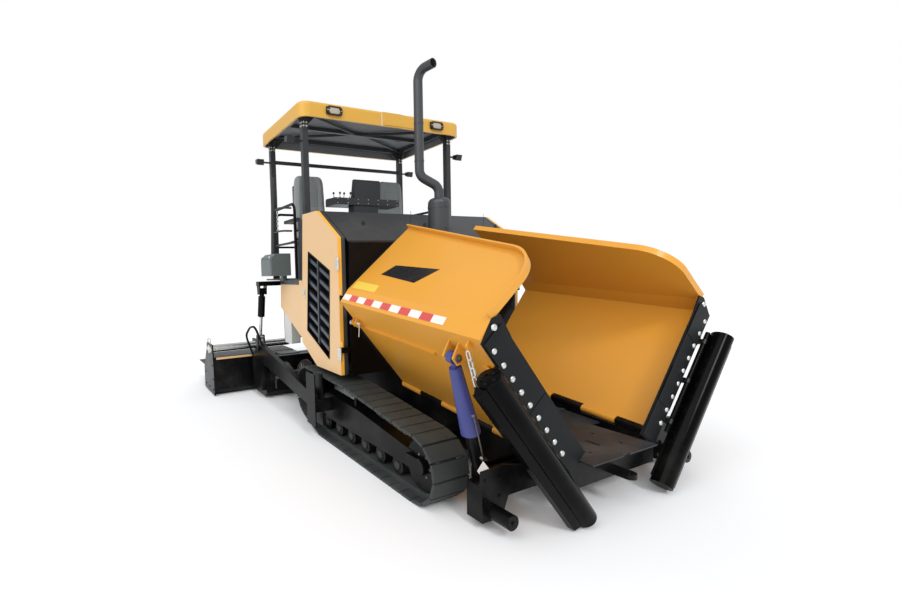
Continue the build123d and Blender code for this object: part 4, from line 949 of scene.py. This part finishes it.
def swelled(name, shape):
    # voxel remesh, cloth pressure over 20 frames, movement capped
    pad = newObject(name, *shape)
    remesh = pad.modifiers.new("remesh", "REMESH")
    remesh.mode, remesh.voxel_size = "VOXEL", seat["voxel"]
    graph = bpy.context.evaluated_depsgraph_get()
    fine = bpy.data.meshes.new_from_object(pad.evaluated_get(graph))
    pad.modifiers.clear()
    pad.data = fine
    rest = readPoints(fine)
    cloth = pad.modifiers.new("cloth", "CLOTH")
    cloth.settings.use_pressure, cloth.settings.uniform_pressure_force = True, seat["pressure"]
    cloth.settings.effector_weights.gravity = 0.0
    cloth.settings.quality = 4
    cloth.point_cache.frame_start, cloth.point_cache.frame_end = 1, 20
    for step in range(1, 21):
        bpy.context.scene.frame_set(step)
    graph = bpy.context.evaluated_depsgraph_get()
    blown = bpy.data.meshes.new_from_object(pad.evaluated_get(graph))
    shift = readPoints(blown) - rest
    reach = np.linalg.norm(shift, axis=1, keepdims=True)
    shift *= np.minimum(1.0, seat["swellCap"] / np.maximum(reach, 1e-9))
    pad.modifiers.clear()
    pad.data = fine
    fine.vertices.foreach_set("co", (rest + shift).ravel())
    fine.update()
    bpy.context.scene.frame_set(1)
    return pad


def makeSeats():
    s = seat
    swell = s["swellCap"]
    panX = (s["panLow"][0] + s["panHigh"][0]) / 2
    panZ = (s["panLow"][1] + s["panHigh"][1]) / 2
    backMiddle = (sum(s["backX"]) / 2 - 0.004, s["y"], (s["backLow"] + s["backHigh"]) / 2)
    panPad = padShape(s["panHigh"][0] - s["panLow"][0] - 2 * swell, s["panWidth"] - 2 * swell,
                      0.105 - swell, 0.018)
    backPad = padShape(s["backHigh"] - s["backLow"] - 2 * swell, s["backWidth"] - 2 * swell,
                       0.09 - swell, 0.02, 0.14)
    # each pad: shape, middle, its three directions, then its seams as (axis, place, from, to)
    pads = {
        "seatPan": (panPad, (panX, s["y"], panZ - 0.002), (0, -1, 0), ahead, upward,
                    [(0, -0.115, -0.2, 0.2), (0, 0.115, -0.2, 0.2),
                     (1, -0.06, -0.115, 0.115), (1, 0.08, -0.115, 0.115)]),
        "seatBack": (backPad, backMiddle, leftward, upward, ahead,
                     [(0, -0.115, -0.32, 0.2), (0, 0.115, -0.32, 0.2), (1, 0.2, -0.14, 0.14),
                      (1, -0.05, -0.115, 0.115), (1, -0.2, -0.115, 0.115)]),
    }
    made = []
    for name, (shape, origin, across, along, out, lines) in pads.items():
        pad = swelled(name, placedPad(shape, origin, across, along, out))
        points = sewn(readPoints(pad.data), np.array(origin), across, along, out, lines)
        faces = [list(face.vertices) for face in pad.data.polygons]
        bpy.data.objects.remove(pad)
        for side, sign in (("Left", 1), ("Right", -1)):
            turnedFaces = faces if sign > 0 else [face[::-1] for face in faces]
            piece = newObject(name + side, points * (1, sign, 1) + slide, turnedFaces, "seatCloth")
            finer = piece.modifiers.new("finer", "SUBSURF")
            finer.levels = finer.render_levels = 1
            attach(piece, "tractor")
            made.append(piece)
    for piece in made:
        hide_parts("seat_cushions")


makeSeats()
print("seats made")


# console controls, control boxes and the grab rails' chains
console = {
    "deskTop": 2.672, "deskY": (-0.57, 0.38), "deskX": (-0.6, -0.34),
    "levers": 4, "keys": 5, "dialsY": (-0.2, 0.06),
}
controlBox = {
    "x": -0.65, "faceY": 1.4, "lidZ": 1.925, "lidHalf": 0.196, "catchGap": 0.15,
    "chainLinks": 9, "chainStep": 0.026, "chainTop": (-0.455, 1.3, 2.455),
}


def dressConsole():
    knobs, stems, keys, dials = [], [], [], []
    y0, y1 = console["deskY"]
    x, deskTop = sum(console["deskX"]) / 2, console["deskTop"]
    for index, y in enumerate(np.linspace(y0 + 0.05, y0 + 0.26, console["levers"])):
        base = np.array([x + 0.03 * (index % 2), y, deskTop - 0.012])
        top = base + (0.012 * (index - 1), 0, 0.07)
        stems.append(turned([(0, 0.016), (0.012, 0.013), (0.02, 0.008)], base, upward, 18))
        stems.append(swept(ringProfile(0.0045, 10), [base, (base + top) / 2, top], leftward))
        turn = np.linspace(-np.pi / 2, np.pi / 2, 9)[1:-1]
        knobs.append(turned([(0.016 * np.sin(t), 0.014 * np.cos(t)) for t in turn], top, upward, 20))
    for row in range(2):
        for y in np.linspace(y0 + 0.33, y1 - 0.36, console["keys"]):
            keys.append(block((x - 0.05 + row * 0.06, y - 0.011, deskTop - 0.012),
                              (x - 0.02 + row * 0.06, y + 0.011, deskTop + 0.006)))
    # instrument face: two dials and a dark screen on the raised box
    for y in console["dialsY"]:
        dials.append(turned([(0, 0.036), (0.006, 0.036), (0.01, 0.03)], (-0.492, y, 2.8), (-1, 0, 0.15), 32))
    dials.append(prism(rounded(0.15, 0.095, 0.006), (-0.494, -0.07, 2.8), (0, -1, 0), upward, 0.006))
    addPiece("leverStems", stems, "wornSteel")
    addPiece("leverKnobs", knobs, "lampShell", smooth=70)
    addPiece("deskKeys", keys, "controlGrey", bevel=0.002)
    addPiece("dials", dials, "lampShell", bevel=0.001)
    # padded roll along the desk's rear edge, and screws of its cover
    rail = swept(ringProfile(0.014, 14), bent([(-0.608, y0 + 0.02, 2.655), (-0.64, y0 + 0.02, 2.64),
                                               (-0.64, y1 - 0.02, 2.64), (-0.608, y1 - 0.02, 2.655)], 0.02))
    addPiece("deskRail", rail, "lampShell", smooth=60)
    places = [(-0.335, y, z) for y in np.linspace(y0 + 0.03, y1 - 0.03, 7) for z in (2.59, 2.64)]
    places += [(-0.35, y, z) for y in (-0.28, 0.04) for z in (1.75, 2.05, 2.35)]
    screws = [domeBolt(place, ahead, 0.006) for place in places]
    addPiece("consoleScrews", screws, "zinc")


def dressControlBox():
    box = controlBox
    x, face, z, half = box["x"], box["faceY"], box["lidZ"], box["lidHalf"]
    lid = [block((x - half, face + 0.0005, z), (x + half, face + 0.003, z + 0.004)),
           prism(rounded(0.34, 0.2, 0.01), (x, face + 0.0004, z - 0.125), ahead, upward, -0.003)]
    addPair("boxLid", lid, "controlGrey", bevel=0.001)
    small = [turned([(0, 0.014), (0.006, 0.014), (0.01, 0.01)], (x + gap, face + 0.003, z), leftward, 20)
             for gap in (-box["catchGap"], box["catchGap"])]
    addPair("boxCatches", small, "zinc")
    # short chain hanging from the upper grab rail, every second link turned by a quarter
    links = []
    angle = np.linspace(0, 2 * np.pi, 15)[:, None]
    for index in range(box["chainLinks"]):
        middle = np.array(box["chainTop"]) - (0, 0, box["chainStep"] * index)
        wide = np.array(ahead if index % 2 else leftward)
        path = middle + 0.009 * np.cos(angle) * wide + 0.018 * np.sin(angle) * upward
        links.append(swept(ringProfile(0.0028, 8), path, np.cross(wide, upward)))
    addPair("railChain", links, "zinc", smooth=60)


dressConsole()
dressControlBox()
print("console and control boxes dressed")


# front corners: plain plate, bracket bolts and the stub tube's cap
corner = {
    "plateAt": (2.508, 1.0, 0.372), "plateTilt": -32.0,  # degrees
    "boltX": 2.58, "stubAt": (2.744, 1.0, 0.126), "stubRadius": 0.0505,
    "bolts": ((0.93, 0.34), (1.055, 0.34), (0.93, 0.21), (1.055, 0.21), (0.6, 0.27), (0.72, 0.3)),
}


def dressCorner():
    tilt = np.radians(corner["plateTilt"])
    across, up = (np.cos(tilt), 0, np.sin(tilt)), (-np.sin(tilt), 0, np.cos(tilt))
    plate = prism(rounded(0.066, 0.105, 0.004), corner["plateAt"], across, up, -0.003)
    addPair("cornerPlate", plate, "tapeLight", bevel=0.0008)
    stalk = block((2.485, 0.994, 0.298), (2.515, 1.001, 0.35))
    addPair("cornerStalk", stalk, "blackPaint", bevel=0.002)
    bolts = [hexBolt((corner["boltX"], y, z), ahead, 0.013) for y, z in corner["bolts"]]
    addPair("cornerBolts", bolts, "blackPaint")
    place, radius = np.array(corner["stubAt"]), corner["stubRadius"]
    stub = [turned([(0, radius), (0.006, radius), (0.01, radius - 0.0045)], place, ahead, 32),
            hexBolt(place + (0.008, 0, 0), ahead, 0.016)]
    addPair("stubCap", stub, "blackPaint")


dressCorner()
print("front corners dressed")

# screed: pale walkway edges, bosses on the end plates, bolts, tread, hand bars
screed = {
    "front": -1.215, "half": 1.276, "top": 0.52,
    "extFront": -1.76, "extRear": -2.33, "extInner": 0.64, "extOuter": 1.86, "extTop": 0.56,
    "gateWall": 0.02, "guideX": (-1.84, -1.96, -2.07), "guideZ": 0.66, "walkRear": -2.88,
    "gateBolts": ((-1.8, 0.44), (-1.8, 0.24), (-1.8, 0.09), (-2.3, 0.09), (-2.3, 0.27), (-2.06, 0.09)),
    "extTread": 0.3518, "mainTread": 0.3118, "treadPitch": 0.044, "treadSize": 0.015,
    "coversX": -1.43, "coversY": (0.28, 0.86),
}


def treadBars(low, high, z, pitch, size):
    # raised tear-shaped bars in two crossing directions: low six-sided lozenges on a staggered grid
    xs, ys = (np.arange(low[axis] + pitch, high[axis] - pitch / 2, pitch) for axis in (0, 1))
    shapes = []
    for turn, shift in ((0.7854, 0.0), (-0.7854, pitch / 2)):
        c, s = np.cos(turn), np.sin(turn)
        outline = size * np.array([(-1, 0), (-0.5, -0.25), (0.5, -0.25), (1, 0), (0.5, 0.25), (-0.5, 0.25)])
        outline = outline @ np.array([[c, s], [-s, c]])
        grid = np.stack(np.meshgrid(xs + shift, ys + shift), -1).reshape(-1, 2)
        grid = grid[(grid[:, 0] < high[0] - size) & (grid[:, 1] < high[1] - size)]
        bar = prism(outline, (0, 0, z), ahead, leftward, 0.0025)
        shapes.append(moved(bar, np.column_stack([grid, np.zeros(len(grid))])))
    return shapes


def dressExtension():
    v = screed
    outer = v["extOuter"] + v["gateWall"]
    middle = (v["extFront"] + 0.0005, (v["extInner"] + v["extOuter"]) / 2, v["extTop"] - 0.02)
    pale = prism(rounded(v["extOuter"] - v["extInner"] - 0.06, 0.03, 0.006), middle, leftward, upward, 0.004)
    addPair("walkEdge", pale, "creamPaint", "extension", bevel=0.001)
    bolts = [hexBolt((v["extFront"] + 0.0005, y, z), ahead, 0.012)
             for y in np.linspace(v["extInner"] + 0.12, v["extOuter"] - 0.08, 6) for z in (0.11, 0.455)]
    bolts += [hexBolt((x, outer, z), leftward, 0.012) for x, z in v["gateBolts"]]
    addPair("extensionBolts", bolts, "blackPaint", "extension")
    bosses = [turned([(0, 0.062), (0.01, 0.062), (0.012, 0.058), (0.012, 0.03), (0.018, 0.028)],
                     (v["guideX"][1], outer, v["guideZ"]), leftward, 36)]
    bosses += [turned([(0, 0.034), (0.01, 0.034), (0.013, 0.03)], (x, outer, v["guideZ"]), leftward, 28)
               for x in (v["guideX"][0], v["guideX"][2])]
    addPair("guideBosses", bosses, "zinc", "extension")
    # ribs along the extension's front face
    ribs = [block((v["extFront"], y, 0.135), (v["extFront"] + 0.008, y + 0.01, 0.43))
            for y in np.linspace(v["extInner"] + 0.22, v["extOuter"] - 0.2, 5)]
    addPair("extensionRibs", ribs, "blackPaint", "extension", bevel=0.0015)
    tread = treadBars((v["walkRear"] + 0.01, v["extInner"] + 0.03), (v["extRear"] - 0.02, v["extOuter"] - 0.01),
                      v["extTread"], v["treadPitch"], v["treadSize"])
    addPair("walkTread", tread, "deckSteel", "extension")
    # gate's handle: a bent bar over the end plate's upper edge
    y = outer - 0.01
    handle = bent([(-2.1, y, 0.7), (-2.1, y, 0.8), (-1.92, y, 0.815), (-1.92, y, 0.7)], 0.025)
    addPair("gateHandle", swept(ringProfile(0.008), handle, leftward), "zinc", "extension")
    # curved hand bar over the tow arm, rising towards the front
    grab = bent([(-1.62, 1.305, 0.5), (-1.73, 1.392, 0.84), (-1.5, 1.392, 0.985), (-1.26, 1.392, 1.015),
                 (-1.205, 1.305, 0.74)], 0.085, 9)
    addPair("armBar", swept(ringProfile(0.016), grab, leftward), "blackPaint", "screed")


def dressScreed():
    v = screed
    bolts = [hexBolt((v["front"] + 0.0005, y, z), ahead, 0.012)
             for y in np.linspace(-v["half"] + 0.08, v["half"] - 0.08, 15) for z in (0.15, 0.39)]
    addPiece("screedBolts", bolts, "blackPaint", "screed")
    tread = treadBars((v["walkRear"] + 0.01, -0.59), (-2.43, 0.59), v["mainTread"], v["treadPitch"],
                      v["treadSize"])
    addPiece("walkTreadMiddle", tread, "deckSteel", "screed")
    # heating boxes' covers between the carrier plates, with their cable glands
    covers, glands = [], []
    x, top = v["coversX"], v["top"]
    for y in [sign * middle for sign in (-1, 1) for middle in v["coversY"]]:
        side = np.sign(y)
        covers.append(prism(rounded(0.22, 0.3, 0.018), (x, y, top - 0.001), ahead, leftward, 0.07))
        glands += [turned([(0, 0.016), (0.012, 0.016), (0.02, 0.01)], (-1.322, y + side * dy, top + 0.034),
                          ahead, 18) for dy in (-0.07, 0.0, 0.07)]
        glands += [domeBolt((x + dx, y + dy, top + 0.069), upward, 0.007)
                   for dx in (-0.092, 0.092) for dy in (-0.132, 0.132)]
    addPiece("heaterCovers", covers, "controlGrey", "screed", bevel=0.004)
    addPiece("heaterGlands", glands, "lampShell", "screed")


dressExtension()
dressScreed()
print("screed dressed")


# hopper cylinders' steel pipes and the apron tubes' end caps
cylinder = {"foot": (2.37, 0.892, 0.28), "pipeOut": 0.066, "pipeRadius": 0.0055, "portsAt": (0.15, 0.5)}
apron = {"capAt": (2.84, 1.0205, 0.147), "capRadius": 0.068, "boltCircle": 0.046, "boltCount": 5}


def alongCylinder(distance, forward=0.0, out=0.0):
    # point by the cylinder's axis: distance from its foot, then forward and outwards from the axis
    foot = np.array(cylinder["foot"])
    run = unit(onPanel(*wing["eyeAt"]) - foot)
    front = unit(np.cross(np.cross(run, ahead), run))
    return foot + distance * run + forward * front + out * np.cross(run, front)


def dressCylinder():
    first, last = cylinder["portsAt"]
    out = cylinder["pipeOut"]
    corners = ((last, 0.04), (last, out), (first, out), (first - 0.03, 0.046))
    pipe = bent([alongCylinder(distance, forward) for distance, forward in corners], 0.02)
    pipe = swept(ringProfile(cylinder["pipeRadius"], 10), pipe, leftward)
    addPair("barrelPipe", pipe, "wornSteel", "hopper_barrel")
    forward = alongCylinder(1, 1) - alongCylinder(1, 0)
    ports = [turned([(0, 0.015), (0.012, 0.015), (0.012, 0.01), (0.024, 0.01)], alongCylinder(port, 0.042),
                    forward, 6) for port in (first, last)]
    addPair("barrelPorts", ports, "zinc", "hopper_barrel")


def dressApron():
    along, radius = np.array([0, slopeY, slopeZ]), apron["capRadius"]
    top = onPanel(*apron["capAt"])
    disc = turned([(0, radius), (0.006, radius), (0.009, radius - 0.004)], top, along, 40)
    bolts = boltRing(top + 0.009 * along, along, apron["boltCircle"], apron["boltCount"], 0.01)
    addPair("apronCap", disc, "glossBlack", "apron")
    addPair("apronBolts", bolts, "blackPaint", "apron")


dressCylinder()
dressApron()
print("cylinders and aprons dressed")
